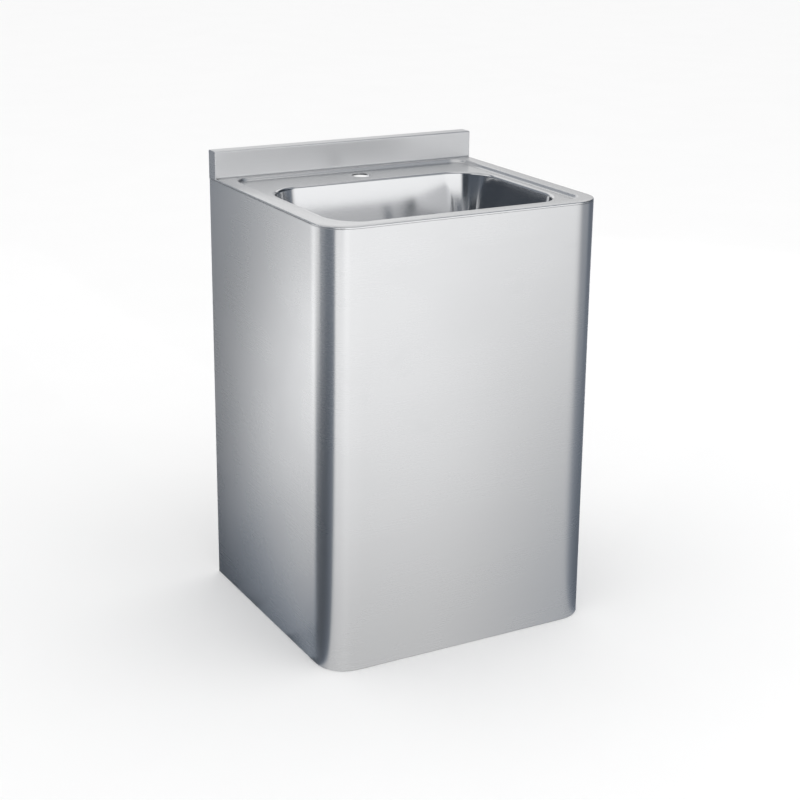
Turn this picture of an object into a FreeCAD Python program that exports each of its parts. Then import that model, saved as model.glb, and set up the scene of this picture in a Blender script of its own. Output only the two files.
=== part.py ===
import FreeCAD, Part
import math
import os
from FreeCAD import Vector

# Floor-standing shrouded wash basin in stainless sheet. Millimetres, +Z up, front towards -Y, wall at +Y,
# origin at the middle of the outline on the floor.

# Overall form
width = 545.0
depth = 500.0
rim_height = 800.0
front_corner_radius = 57.0
sheet = 1.5
clearance = 0.3

# Shroud
seam_gap = 0.5
lap_bend_radius = 3.0
rim_flange_width = 20.0
floor_flange_width = 20.0
wall_flange_width = 30.0
wall_hole_radius = 5.5
wall_hole_edge = 16.0
wall_hole_low = 200.0
wall_hole_rise = 420.0

# Pressed top
rim_width = 30.0
back_rim_width = 18.0
rim_edge_radius = 2.0
rim_skirt = 4.0
recess_depth = 6.0
recess_corner_radius = 28.0
recess_floor_radius = 3.0
recess_edge_radius = 2.0
ledge = 13.0
tap_ledge = 80.0
tap_hole_diameter = 35.0
tap_plate_thickness = 1.5
tap_plate_length = 90.0
tap_plate_width = 56.0
tap_plate_corner = 8.0

# Bowl
bowl_depth = 150.0
bowl_corner_radius = 75.0
bowl_draft = 11.0
bowl_foot_corner_radius = 31.0
bowl_floor_radius = 25.0
bowl_lip_radius = 6.0
dish_radius = 76.0
dish_fall = 4.0
waste_seat_depth = 4.5
sound_pad_thickness = 3.0
sound_pad_inner_radius = 38.0

# Splashback
splashback_height = 50.0
splashback_thickness = 30.0
fold_radius = 3.0
weld_radius = 3.0
weld_toe = 0.3

# Rear ties
rail_sheet = 2.0
rail_height = 60.0
rail_lip = 18.0
rail_drop = 50.0
tie_bar_width = 30.0
tie_bar_thickness = 3.0
floor_hole_radius = 5.0
floor_hole_spacing = 400.0

# Rim fixings
stud_radius = 3.0
stud_length = 16.0
stud_inset = 13.0
side_stud_pitch = 150.0
front_stud_pitch = 240.0
rim_nut_flats = 10.0
rim_nut_height = 6.0
rim_nut_washer_radius = 7.0
rim_nut_washer_height = 1.5

# Waste
waste_flange_radius = 31.0
waste_seal_thickness = 1.0
stem_radius = 20.9
stem_wall = 3.9
stem_length = 56.0
under_seal_thickness = 3.0
backnut_flats = 58.0
backnut_height = 9.0
strainer_radius = 25.0
strainer_plate = 1.5
strainer_spigot_wall = 1.5
strainer_spigot_length = 8.0
strainer_knob_radius = 4.0
strainer_knob_height = 7.0
strainer_hole_radius = 2.6
strainer_inner_ring_radius = 9.0
strainer_inner_ring_holes = 6
strainer_outer_ring_radius = 13.6
strainer_outer_ring_holes = 10

# Bottle trap
tube_radius = 16.0
tube_wall = 1.5
collar_thickness = 2.0
flat_seal_thickness = 2.5
ring_seal_height = 6.0
nut_wall = 5.5
nut_lip = 3.0
nut_height = 22.0
nut_spacing = 8.0
nut_flutes = 10
trap_boss_height = 14.0
trap_body_radius = 32.0
trap_wall = 3.0
trap_body_height = 64.0
outlet_drop = 24.0
outlet_reach = 62.0
outlet_socket = 24.0
cup_seal_thickness = 3.0
cup_flange_thickness = 3.0
cup_radius = 28.5
cup_wall = 2.0
cup_depth = 65.0
cup_round = 12.0
dip_gap = 18.0
ring_wall = 6.0
ring_lip = 4.0
ring_height = 24.0
ring_flutes = 16
flute_radius = 2.5
drain_spigot = 60.0
drain_bead_radius = 17.5
drain_bead_width = 4.0

# Heights and places that follow from the sizes above
half_width = width / 2
half_depth = depth / 2
splash_front = half_depth - splashback_thickness
skirt_z = rim_height - rim_skirt
shroud_top = skirt_z - seam_gap
lap_inset = sheet + clearance
lap_top = rim_height - sheet
lap_back = half_depth - sheet - clearance
deck_z = rim_height - recess_depth
recess_front = -half_depth + rim_width
recess_back = splash_front - back_rim_width
recess_side = half_width - rim_width
bowl_side = recess_side - ledge
bowl_front = recess_front + ledge
bowl_back = recess_back - tap_ledge
tap_y = bowl_back + tap_ledge / 2
drain_y = (bowl_front + bowl_back) / 2
bowl_floor_z = deck_z - bowl_depth
dish_z = bowl_floor_z - dish_fall
seat_z = dish_z - waste_seat_depth
seat_radius = waste_flange_radius + clearance
dish_slope = dish_fall / (dish_radius - seat_radius)
stem_end_z = seat_z - stem_length
collar_top = stem_end_z - flat_seal_thickness
inlet_nut_z = collar_top - collar_thickness - nut_lip
body_nut_top = inlet_nut_z - nut_spacing
boss_top = body_nut_top - nut_lip - ring_seal_height
body_top = boss_top - trap_boss_height
body_bottom = body_top - trap_body_height
outlet_z = body_top - outlet_drop
outlet_end = drain_y + outlet_reach
cup_top = body_bottom - cup_seal_thickness
cup_bottom = cup_top - cup_depth
dip_end = cup_bottom + cup_wall + dip_gap
ring_z = cup_top - cup_flange_thickness - ring_lip
nut_bore = stem_radius + clearance
nut_radius = nut_bore + nut_wall
tube_bore = tube_radius + clearance


def box(x0, x1, y0, y1, z0, z1):
    """Block between two corners."""
    return Part.makeBox(x1 - x0, y1 - y0, z1 - z0, Vector(x0, y0, z0))


def line(a, b):
    """Straight edge."""
    return Part.LineSegment(a, b).toShape()


def arc(a, middle, b):
    """Round edge through three points."""
    return Part.Arc(a, middle, b).toShape()


def corner_arc(centre, radius, start):
    """Quarter circle about centre in a level plane, from start degrees on."""
    points = []
    for turn in (0, 45, 90):
        angle = math.radians(start + turn)
        points.append(centre + Vector(radius * math.cos(angle), radius * math.sin(angle), 0))
    return arc(*points)


def rounded_rect(x0, x1, y0, y1, radius, z):
    """Level rectangle with four round corners."""
    r = radius
    edges = [
        line(Vector(x0 + r, y0, z), Vector(x1 - r, y0, z)),
        corner_arc(Vector(x1 - r, y0 + r, z), r, 270),
        line(Vector(x1, y0 + r, z), Vector(x1, y1 - r, z)),
        corner_arc(Vector(x1 - r, y1 - r, z), r, 0),
        line(Vector(x1 - r, y1, z), Vector(x0 + r, y1, z)),
        corner_arc(Vector(x0 + r, y1 - r, z), r, 90),
        line(Vector(x0, y1 - r, z), Vector(x0, y0 + r, z)),
        corner_arc(Vector(x0 + r, y0 + r, z), r, 180),
    ]
    return Part.Wire(edges)


def wrap(inset, back, z):
    """Edges round the left side, front and right side, inset from the outer face, open at the back."""
    x = half_width - inset
    front = -half_depth + inset
    r = front_corner_radius - inset
    return [
        line(Vector(-x, back, z), Vector(-x, front + r, z)),
        corner_arc(Vector(-x + r, front + r, z), r, 180),
        line(Vector(-x + r, front, z), Vector(x - r, front, z)),
        corner_arc(Vector(x - r, front + r, z), r, 270),
        line(Vector(x, front + r, z), Vector(x, back, z)),
    ]


def wrap_band(outer, inner, back, z0, z1):
    """Wall between two wraps, from z0 to z1."""
    far = half_width - outer
    near = half_width - inner
    edges = wrap(outer, back, z0) + wrap(inner, back, z0)
    edges.append(line(Vector(-far, back, z0), Vector(-near, back, z0)))
    edges.append(line(Vector(far, back, z0), Vector(near, back, z0)))
    return prism(Part.Wire(Part.__sortEdges__(edges)), z1 - z0)


def wrap_block(inset, back, z0, z1):
    """Solid block inside a wrap, with a straight back."""
    x = half_width - inset
    edges = wrap(inset, back, z0)
    edges.append(line(Vector(x, back, z0), Vector(-x, back, z0)))
    return prism(Part.Wire(Part.__sortEdges__(edges)), z1 - z0)


def prism(wire, height):
    """Upright solid on a closed wire."""
    return Part.Face(wire).extrude(Vector(0, 0, height))


def edges_on(shape, path):
    """Edges of shape that lie on a path, for rounding."""
    picked = []
    for edge in shape.Edges:
        first, last = edge.ParameterRange
        points = [edge.valueAt(first + (last - first) * share) for share in (0.0, 0.5, 1.0)]
        if all(Part.Vertex(point).distToShape(path)[0] < 0.001 for point in points):
            picked.append(edge)
    return picked


def rounded_on(shape, path, radius):
    """Shape with its edges along a path rounded."""
    return shape.makeFillet(radius, edges_on(shape, path))


def upright(radius, z0, z1, x=0.0, y=0.0):
    """Upright cylinder."""
    return Part.makeCylinder(radius, z1 - z0, Vector(x, y, z0))


def across(reach, y, z):
    """Level edge from side to side."""
    return line(Vector(-reach, y, z), Vector(reach, y, z))


def turned(profile):
    """Solid turned about the upright axis of the waste, from points (radius, height)."""
    points = [Vector(r, drain_y, z) for r, z in profile]
    face = Part.Face(Part.makePolygon(points + points[:1]))
    return face.revolve(Vector(0, drain_y, 0), Vector(0, 0, 1), 360)


def turned_along(profile):
    """Solid turned about the level axis of the outlet, from points (radius, distance from the front)."""
    points = [Vector(r, y, outlet_z) for r, y in profile]
    face = Part.Face(Part.makePolygon(points + points[:1]))
    return face.revolve(Vector(0, 0, outlet_z), Vector(0, 1, 0), 360)


def hexagon(flats, z0, z1, x=0.0, y=0.0):
    """Upright hexagon prism, sized across its flats."""
    reach = flats / math.sqrt(3)
    points = []
    for step in range(7):
        angle = math.radians(60 * step)
        points.append(Vector(x + reach * math.cos(angle), y + reach * math.sin(angle), z0))
    return prism(Part.makePolygon(points), z1 - z0)


def fluted(shape, radius, count, start, end):
    """Nut with grip flutes cut round its outside, along its axis from start to end."""
    length = (end - start).Length
    axis = (end - start) / length
    cutters = []
    for step in range(count):
        spoke = Vector(radius + flute_radius / 2, 0, 0)
        turn = FreeCAD.Rotation(axis, 360.0 * step / count)
        cutters.append(Part.makeCylinder(flute_radius, length, start + turn.multVec(spoke), axis))
    return shape.cut(Part.makeCompound(cutters))


def make_shroud():
    """Front and sides in one sheet, with floor and wall flanges and a joggled top with a rim flange."""
    wall = wrap_band(0, sheet, half_depth, 0, shroud_top)
    floor = wrap_band(0, floor_flange_width, half_depth, 0, sheet)
    shoulder = wrap_band(0, lap_inset + sheet, lap_back, shroud_top - sheet, shroud_top)
    inner = lap_inset + rim_flange_width
    lap = wrap_band(lap_inset, inner, lap_back, shroud_top - sheet, lap_top)
    lap = rounded_on(lap, Part.Wire(wrap(lap_inset, lap_back, lap_top)), lap_bend_radius)
    under = lap_inset + sheet
    past = lap_back + sheet
    hollow = wrap_band(under, inner + sheet, past, shroud_top - 2 * sheet, lap_top - sheet)
    hollow = rounded_on(hollow, Part.Wire(wrap(under, past, lap_top - sheet)), lap_bend_radius - sheet)
    solids = [floor, shoulder, lap.cut(hollow)]
    for left in (-half_width, half_width - wall_flange_width):
        solids.append(box(left, left + wall_flange_width, half_depth - sheet, half_depth, 0, shroud_top))
    shroud = wall.fuse(solids).removeSplitter()
    holes = []
    for x in (-wall_hole_x(), wall_hole_x()):
        for z in (wall_hole_low, wall_hole_low + wall_hole_rise):
            start = Vector(x, half_depth - 2 * sheet, z)
            holes.append(Part.makeCylinder(wall_hole_radius, 3 * sheet, start, Vector(0, 1, 0)))
    for x, y in stud_places():
        holes.append(upright(stud_radius + clearance, lap_top - 2 * sheet, lap_top + sheet, x, y))
    return shroud.cut(holes)


def wall_hole_x():
    """Distance of the wall fixing holes from the middle."""
    return half_width - wall_hole_edge


def stud_places():
    """Places of the weld studs under the rim: three on each side and two at the front."""
    places = []
    x = half_width - stud_inset
    for side in (-x, x):
        for step in (-1, 0, 1):
            places.append((side, step * side_stud_pitch))
    for side in (-1, 1):
        places.append((side * front_stud_pitch / 2, -half_depth + stud_inset))
    return places


def recess_outline(grow, z):
    """Outline of the recessed deck, grown all round."""
    radius = recess_corner_radius + grow
    side = recess_side + grow
    return rounded_rect(-side, side, recess_front - grow, recess_back + grow, radius, z)


def bowl_outline(grow, z):
    """Outline of the bowl opening, grown all round."""
    radius = bowl_corner_radius + grow
    side = bowl_side + grow
    return rounded_rect(-side, side, bowl_front - grow, bowl_back + grow, radius, z)


def make_basin_top():
    """Pressed top: rim with a rolled, turned-down edge, recessed deck, bowl opening and tap hole."""
    front = wrap_block(0, splash_front, skirt_z, rim_height)
    front = rounded_on(front, Part.Wire(wrap(0, splash_front, rim_height)), rim_edge_radius)
    outer = front.fuse(box(-half_width, half_width, splash_front, half_depth, skirt_z, rim_height))
    back = half_depth - sheet
    under = wrap_block(sheet, back, skirt_z - sheet, lap_top)
    under = rounded_on(under, Part.Wire(wrap(sheet, back, lap_top)), rim_edge_radius - sheet)
    pocket = prism(recess_outline(0, deck_z), recess_depth + sheet)
    pocket = rounded_on(pocket, recess_outline(0, deck_z), recess_floor_radius)
    pan = prism(recess_outline(sheet, deck_z - sheet), recess_depth + sheet)
    pan = rounded_on(pan, recess_outline(sheet, deck_z - sheet), recess_floor_radius + sheet)
    top = outer.cut(under).fuse(pan).cut(pocket).removeSplitter()
    top = rounded_on(top, recess_outline(0, rim_height), recess_edge_radius)
    opening = prism(bowl_outline(0, deck_z - 2 * sheet), 4 * sheet)
    tap_hole = upright(tap_hole_diameter / 2, deck_z - 2 * sheet, deck_z + sheet, 0, tap_y)
    return top.cut([opening, tap_hole])


def bowl_space(gap):
    """Space above one face of the bowl's sheet: gap 0 is the inside face, gap of one sheet the outside."""
    lip = bowl_lip_radius - gap
    top = deck_z - gap
    floor = bowl_floor_z - gap
    lean = (top - floor) * math.tan(math.radians(bowl_draft))
    side = bowl_side - lip - lean
    radius = bowl_foot_corner_radius + gap
    foot = rounded_rect(-side, side, bowl_front + lip + lean, bowl_back - lip - lean, radius, floor)
    mouth = bowl_outline(-lip, top)
    space = Part.makeLoft([foot, mouth], True, True)
    space = rounded_on(space, foot, bowl_floor_radius + gap)
    plate = prism(bowl_outline(bowl_lip_radius, top), bowl_lip_radius)
    space = rounded_on(space.fuse(plate), mouth, lip)
    dish = turned([(0, floor + sheet), (dish_radius, floor + sheet), (dish_radius, floor),
                   (seat_radius + gap, floor - dish_slope * (dish_radius - seat_radius - gap)),
                   (seat_radius + gap, seat_z - gap), (0, seat_z - gap)])
    return space.fuse(dish)


def make_bowl():
    """Pressed bowl: rolled lip, leaning walls, round floor edge, dished floor and seat for the waste."""
    inside = bowl_space(0.0)
    outside = bowl_space(sheet)
    blank = prism(bowl_outline(0, seat_z - 2 * sheet), deck_z - seat_z + 2 * sheet)
    waste_hole = upright(stem_radius + clearance, seat_z - 2 * sheet, seat_z + sheet, 0, drain_y)
    return outside.common(blank).cut([inside, waste_hole])


def splashback_core():
    """Space inside the splashback channel."""
    floor = rim_height
    top = rim_height + splashback_height - sheet
    core = box(-half_width, half_width, splash_front + sheet, half_depth - sheet, floor, top)
    for y in (splash_front + sheet, half_depth - sheet):
        core = rounded_on(core, across(half_width, y, top), fold_radius - sheet)
    return core


def make_splashback():
    """Folded channel, open below, with a dressed weld along its foot."""
    top = rim_height + splashback_height
    block = box(-half_width, half_width, splash_front, half_depth, rim_height, top)
    for y in (splash_front, half_depth):
        block = rounded_on(block, across(half_width, y, top), fold_radius)
    left = -half_width + rim_edge_radius
    foot = Vector(left, splash_front - weld_radius, rim_height)
    toe = foot + Vector(0, 0, weld_toe)
    crown = Vector(left, splash_front, rim_height + weld_toe + weld_radius)
    belly = toe + Vector(0, weld_radius * math.sin(math.pi / 4), weld_radius * (1 - math.cos(math.pi / 4)))
    heel = Vector(left, splash_front + sheet / 2, rim_height)
    back = Vector(left, splash_front + sheet / 2, crown.z)
    edges = [line(foot, toe), arc(toe, belly, crown), line(crown, back), line(back, heel), line(heel, foot)]
    weld = Part.Face(Part.Wire(edges)).extrude(Vector(width - 2 * rim_edge_radius, 0, 0))
    return block.cut(splashback_core()).fuse(weld).removeSplitter()


def make_splashback_end(left):
    """Plate that closes the channel from its left face on, flush with the side."""
    top = rim_height + splashback_height
    slab = box(left, left + sheet, splash_front, half_depth, rim_height, top)
    return splashback_core().common(slab)


def make_tap_plate():
    """Plate under the deck that carries the tap."""
    top = deck_z - sheet
    half = tap_plate_width / 2
    outline = rounded_rect(-tap_plate_length / 2, tap_plate_length / 2, tap_y - half, tap_y + half,
                           tap_plate_corner, top - tap_plate_thickness)
    hole = upright(tap_hole_diameter / 2, top - 2 * tap_plate_thickness, top + sheet, 0, tap_y)
    return prism(outline, tap_plate_thickness).cut(hole)


def make_rear_top_rail():
    """Channel with forward lips, spot-welded between the two wall flanges."""
    end = half_width - sheet - clearance
    back = half_depth - sheet
    top = skirt_z - rail_drop
    low = top - rail_height
    rail = box(-end, end, back - rail_lip, back, low, top)
    space = box(-end, end, back - rail_lip, back - rail_sheet, low + rail_sheet, top - rail_sheet)
    for z in (low, top):
        rail = rounded_on(rail, across(end, back, z), rail_sheet + fold_radius)
    for z in (low + rail_sheet, top - rail_sheet):
        space = rounded_on(space, across(end, back - rail_sheet, z), fold_radius)
    return rail.cut(space)


def make_rear_tie_bar():
    """Flat bar across the back of the floor flange, with two floor fixing holes."""
    end = half_width - sheet - clearance
    back = half_depth - sheet - clearance
    low = sheet
    bar = box(-end, end, back - tie_bar_width, back, low, low + tie_bar_thickness)
    holes = []
    middle = back - tie_bar_width / 2
    for x in (-floor_hole_spacing / 2, floor_hole_spacing / 2):
        holes.append(upright(floor_hole_radius, low - sheet, low + 2 * tie_bar_thickness, x, middle))
    return bar.cut(holes)


def make_rim_studs():
    """Weld studs that hang from the rim through the shroud's flange."""
    end = lap_top - stud_length
    return Part.makeCompound([upright(stud_radius, end, lap_top, x, y) for x, y in stud_places()])


def make_rim_nuts():
    """Flanged nuts under the shroud's flange."""
    top = lap_top - sheet
    nuts = []
    for x, y in stud_places():
        body = hexagon(rim_nut_flats, top - rim_nut_height, top, x, y)
        washer = upright(rim_nut_washer_radius, top - rim_nut_washer_height, top, x, y)
        bore = upright(stud_radius + clearance, top - 2 * rim_nut_height, top + sheet, x, y)
        nuts.append(body.fuse(washer).cut(bore))
    return Part.makeCompound(nuts)


def make_sound_pad():
    """Rubber ring stuck to the underside of the dished floor."""
    outer = dish_radius
    inner = sound_pad_inner_radius
    outer_z = bowl_floor_z - sheet
    inner_z = outer_z - dish_slope * (outer - inner)
    thick = sound_pad_thickness
    return turned([(inner, inner_z), (outer, outer_z), (outer, outer_z - thick),
                   (inner, inner_z - thick)])


def make_waste_body():
    """Flanged waste: seat for the strainer on top, threaded stem through the bowl."""
    flange_z = seat_z + waste_seal_thickness
    bore = stem_radius - stem_wall
    rest_z = dish_z - strainer_plate
    rest = strainer_radius + clearance
    soft = waste_flange_radius - clearance
    return turned([(bore, stem_end_z), (stem_radius, stem_end_z), (stem_radius, flange_z),
                   (waste_flange_radius, flange_z), (waste_flange_radius, dish_z - clearance),
                   (soft, dish_z), (rest, dish_z), (rest, rest_z), (bore, rest_z)])


def make_strainer():
    """Lift-out strainer: pierced plate, locating spigot and lifting knob."""
    low = dish_z - strainer_plate
    spigot = stem_radius - stem_wall - clearance
    inner = spigot - strainer_spigot_wall
    end = low - strainer_spigot_length
    waist = strainer_knob_radius / 2
    knob = dish_z + strainer_knob_height
    plate = turned([(0, low), (inner, low), (inner, end), (spigot, end), (spigot, low),
                    (strainer_radius, low), (strainer_radius, dish_z), (waist, dish_z),
                    (waist, knob - waist), (strainer_knob_radius, knob - waist / 2), (waist, knob),
                    (0, knob)])
    holes = []
    inner_ring = (strainer_inner_ring_radius, strainer_inner_ring_holes)
    outer_ring = (strainer_outer_ring_radius, strainer_outer_ring_holes)
    for ring, count in (inner_ring, outer_ring):
        for step in range(count):
            angle = 2 * math.pi * step / count
            x = ring * math.cos(angle)
            y = drain_y + ring * math.sin(angle)
            holes.append(upright(strainer_hole_radius, low - sheet, dish_z + sheet, x, y))
    return plate.cut(holes)


def washer(inner, outer, top, thickness):
    """Flat ring about the axis of the waste, below top."""
    return turned([(inner, top - thickness), (outer, top - thickness), (outer, top), (inner, top)])


def make_waste_top_seal():
    """Washer between the bowl's seat and the waste flange."""
    top = seat_z + waste_seal_thickness
    return washer(nut_bore, waste_flange_radius - clearance, top, waste_seal_thickness)


def make_waste_under_seal():
    """Thick washer under the bowl."""
    return washer(nut_bore, waste_flange_radius - clearance, seat_z - sheet, under_seal_thickness)


def make_waste_backnut():
    """Hexagon nut that clamps the waste to the bowl."""
    top = seat_z - sheet - under_seal_thickness
    bore = upright(nut_bore, top - 2 * backnut_height, top + sheet, 0, drain_y)
    return hexagon(backnut_flats, top - backnut_height, top, 0, drain_y).cut(bore)


def make_inlet_nut():
    """Coupling nut on the waste stem: lip below, under the collar of the tube."""
    low = inlet_nut_z
    top = low + nut_height
    nut = turned([(tube_bore, low), (nut_radius, low), (nut_radius, top), (nut_bore, top),
                  (nut_bore, low + nut_lip), (tube_bore, low + nut_lip)])
    return fluted(nut, nut_radius, nut_flutes, Vector(0, drain_y, low), Vector(0, drain_y, top))


def make_inlet_seal():
    """Flat washer between the stem's end and the collar."""
    return washer(tube_radius, stem_radius, stem_end_z, flat_seal_thickness)


def make_inlet_tube():
    """Dip tube with a collar at its top end."""
    bore = tube_radius - tube_wall
    shoulder = collar_top - collar_thickness
    return turned([(bore, dip_end), (tube_radius, dip_end), (tube_radius, shoulder),
                   (stem_radius, shoulder), (stem_radius, collar_top), (bore, collar_top)])


def make_body_nut():
    """Compression nut on the trap's top boss: lip above, over the ring seal."""
    top = body_nut_top
    low = top - nut_height + nut_lip
    nut = turned([(nut_bore, low), (nut_radius, low), (nut_radius, top), (tube_bore, top),
                  (tube_bore, top - nut_lip), (nut_bore, top - nut_lip)])
    return fluted(nut, nut_radius, nut_flutes, Vector(0, drain_y, low), Vector(0, drain_y, top))


def make_body_seal():
    """Ring seal squeezed between the boss and its nut."""
    return washer(tube_bore, stem_radius, boss_top + ring_seal_height, ring_seal_height)


def make_trap_body():
    """Bottle trap body: open below, boss for the dip tube on top, boss for the outlet behind."""
    inner = trap_body_radius - trap_wall
    roof = body_top - trap_wall
    shell = turned([(0, body_bottom), (trap_body_radius, body_bottom), (trap_body_radius, roof),
                    (inner, body_top), (stem_radius, body_top), (stem_radius, boss_top), (0, boss_top)])
    side_boss = turned_along([(0, drain_y), (stem_radius, drain_y), (stem_radius, outlet_end),
                              (0, outlet_end)])
    chamber = turned([(0, body_bottom - sheet), (inner, body_bottom - sheet), (inner, roof),
                      (tube_bore, roof), (tube_bore, boss_top + sheet), (0, boss_top + sheet)])
    passage = tube_radius - tube_wall
    shoulder = outlet_end - outlet_socket
    bore = turned_along([(0, drain_y), (passage, drain_y), (passage, shoulder), (tube_bore, shoulder),
                         (tube_bore, outlet_end + sheet), (0, outlet_end + sheet)])
    return shell.fuse(side_boss).cut([chamber, bore]).removeSplitter()


def make_cup_seal():
    """Washer between the trap body and the cup."""
    return washer(trap_body_radius - trap_wall, trap_body_radius, body_bottom, cup_seal_thickness)


def make_trap_cup():
    """Cleaning cup: flange at its mouth, round bottom."""
    inner = cup_radius - cup_wall
    flange_z = cup_top - cup_flange_thickness
    cup = turned([(0, cup_bottom), (cup_radius, cup_bottom), (cup_radius, flange_z),
                  (trap_body_radius, flange_z), (trap_body_radius, cup_top), (0, cup_top)])
    rim = Part.makeCircle(cup_radius, Vector(0, drain_y, cup_bottom))
    space = turned([(0, cup_bottom + cup_wall), (inner, cup_bottom + cup_wall), (inner, cup_top + sheet),
                    (0, cup_top + sheet)])
    well = Part.makeCircle(inner, Vector(0, drain_y, cup_bottom + cup_wall))
    return rounded_on(cup, rim, cup_round).cut(rounded_on(space, well, cup_round - cup_wall))


def make_cup_ring():
    """Ring nut with grip flutes: its lip holds the cup's flange up against the body."""
    bore = trap_body_radius + clearance
    radius = bore + ring_wall
    neck = cup_radius + clearance
    top = ring_z + ring_height
    ring = turned([(neck, ring_z), (radius, ring_z), (radius, top), (bore, top),
                   (bore, ring_z + ring_lip), (neck, ring_z + ring_lip)])
    return fluted(ring, radius, ring_flutes, Vector(0, drain_y, ring_z), Vector(0, drain_y, top))


def make_outlet_nut():
    """Compression nut on the outlet boss: lip behind, over the ring seal."""
    back = outlet_end + ring_seal_height + nut_lip
    front = back - nut_height + nut_lip
    nut = turned_along([(nut_bore, front), (nut_radius, front), (nut_radius, back), (tube_bore, back),
                        (tube_bore, back - nut_lip), (nut_bore, back - nut_lip)])
    return fluted(nut, nut_radius, nut_flutes, Vector(0, front, outlet_z), Vector(0, back, outlet_z))


def make_outlet_seal():
    """Ring seal squeezed between the outlet boss and its nut."""
    end = outlet_end + ring_seal_height
    return turned_along([(tube_bore, outlet_end), (stem_radius, outlet_end), (stem_radius, end),
                         (tube_bore, end)])


def make_outlet_pipe():
    """Pipe from the trap to the wall, with a stop bead before its free end."""
    start = outlet_end - outlet_socket
    bead = half_depth - drain_spigot
    bore = tube_radius - tube_wall
    return turned_along([(bore, start), (tube_radius, start), (tube_radius, bead - drain_bead_width),
                         (drain_bead_radius, bead - drain_bead_width), (drain_bead_radius, bead),
                         (tube_radius, bead), (tube_radius, half_depth), (bore, half_depth)])


def main():
    """Build every piece and write it to its own file."""
    pieces = {
        "shroud": make_shroud(),
        "basin_top": make_basin_top(),
        "bowl": make_bowl(),
        "splashback": make_splashback(),
        "splashback_end_left": make_splashback_end(-half_width),
        "splashback_end_right": make_splashback_end(half_width - sheet),
        "tap_plate": make_tap_plate(),
        "rear_top_rail": make_rear_top_rail(),
        "rear_tie_bar": make_rear_tie_bar(),
        "rim_studs": make_rim_studs(),
        "rim_nuts": make_rim_nuts(),
        "sound_pad": make_sound_pad(),
        "waste_body": make_waste_body(),
        "strainer": make_strainer(),
        "waste_top_seal": make_waste_top_seal(),
        "waste_under_seal": make_waste_under_seal(),
        "waste_backnut": make_waste_backnut(),
        "inlet_nut": make_inlet_nut(),
        "inlet_seal": make_inlet_seal(),
        "inlet_tube": make_inlet_tube(),
        "body_nut": make_body_nut(),
        "body_seal": make_body_seal(),
        "trap_body": make_trap_body(),
        "cup_seal": make_cup_seal(),
        "trap_cup": make_trap_cup(),
        "cup_ring": make_cup_ring(),
        "outlet_nut": make_outlet_nut(),
        "outlet_seal": make_outlet_seal(),
        "outlet_pipe": make_outlet_pipe(),
    }
    os.makedirs("parts", exist_ok=True)
    for name, shape in pieces.items():
        shape.exportStep("parts/" + name + ".step")
        state = "valid" if shape.isValid() else "not valid"
        print(name, state, len(shape.Solids), "solids", round(shape.Volume), "cubic mm")


main()
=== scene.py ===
"""Looks of a floor-standing stainless steel wash basin: skins, finishes, studio and camera, in metres."""
import logging
import math
from dataclasses import dataclass, field
from enum import Enum
from typing import Optional, Sequence

import bpy
import numpy as np
import numpy.typing as npt
from mathutils import Matrix, Vector


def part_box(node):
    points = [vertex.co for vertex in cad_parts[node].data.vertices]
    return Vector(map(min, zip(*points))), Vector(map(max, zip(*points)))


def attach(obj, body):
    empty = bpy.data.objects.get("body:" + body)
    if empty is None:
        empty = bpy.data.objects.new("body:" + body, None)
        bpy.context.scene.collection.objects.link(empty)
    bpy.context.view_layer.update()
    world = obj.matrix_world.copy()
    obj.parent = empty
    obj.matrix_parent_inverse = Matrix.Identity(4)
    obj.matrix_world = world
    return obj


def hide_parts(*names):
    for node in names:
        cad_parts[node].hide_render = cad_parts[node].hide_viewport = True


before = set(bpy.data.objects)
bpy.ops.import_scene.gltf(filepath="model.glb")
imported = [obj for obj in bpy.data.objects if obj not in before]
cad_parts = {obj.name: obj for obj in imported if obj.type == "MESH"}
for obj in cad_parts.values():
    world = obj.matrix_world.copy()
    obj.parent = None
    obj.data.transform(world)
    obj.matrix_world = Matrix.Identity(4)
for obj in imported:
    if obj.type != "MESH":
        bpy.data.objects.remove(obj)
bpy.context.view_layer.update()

Array = npt.NDArray[np.float64]
Numbers = npt.NDArray[np.int64]
Colour = tuple[float, float, float]
Corner = tuple[float, float, float]
Outline = tuple[float, float, float, float]
Span = tuple[float, float]
Socket = bpy.types.NodeSocket
Inputs = dict[str | int, object]

MM = 0.001
QUARTER = math.pi / 2
# Lines of points closer than SAME close a grid, points in one cell of WELD become one, and lengths that are
# divided by are at least TINY.
SAME = 1e-9
WELD = MM * 1e-3
TINY = 1e-12
# A long straight run has RUN_CELLS cells between two guards, each RUN_GUARD of its length.
RUN_CELLS = 6
RUN_GUARD = 0.006
WIDEST_GUARD = 0.3
# Half width, front, back and corner radius of the bowl's mouth.
MOUTH: Outline = (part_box("bowl")[1].x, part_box("bowl")[0].y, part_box("bowl")[1].y, 75 * MM)
GRAIN_MAP = "grain"
log = logging.getLogger("wash_basin")


class Body(Enum):
    """Bodies of the frame that new pieces ride on."""

    BASIN = "basin"
    CUP = "trap_cup"
    RING = "cup_ring"


class Axis(Enum):
    """Axis that a turned piece goes round."""

    UPRIGHT = "z"
    LEVEL = "y"


class Grip(Enum):
    """Outer form of a turned piece."""

    PLAIN = "plain"
    FLUTED = "fluted"
    HEXAGON = "hexagon"


class Slot(Enum):
    """Material slots of the record."""

    SATIN = "satin_steel"
    POLISHED = "polished_steel"
    FIXING = "fixing_steel"
    PLASTIC = "trap_plastic"
    SEAL = "seal_rubber"
    PAD = "pad_rubber"


# Surfaces


def unit(vectors: Array) -> Array:
    """Vectors divided by their lengths."""
    lengths = np.linalg.norm(vectors, axis=-1, keepdims=True)
    return vectors / np.maximum(lengths, TINY)


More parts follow.
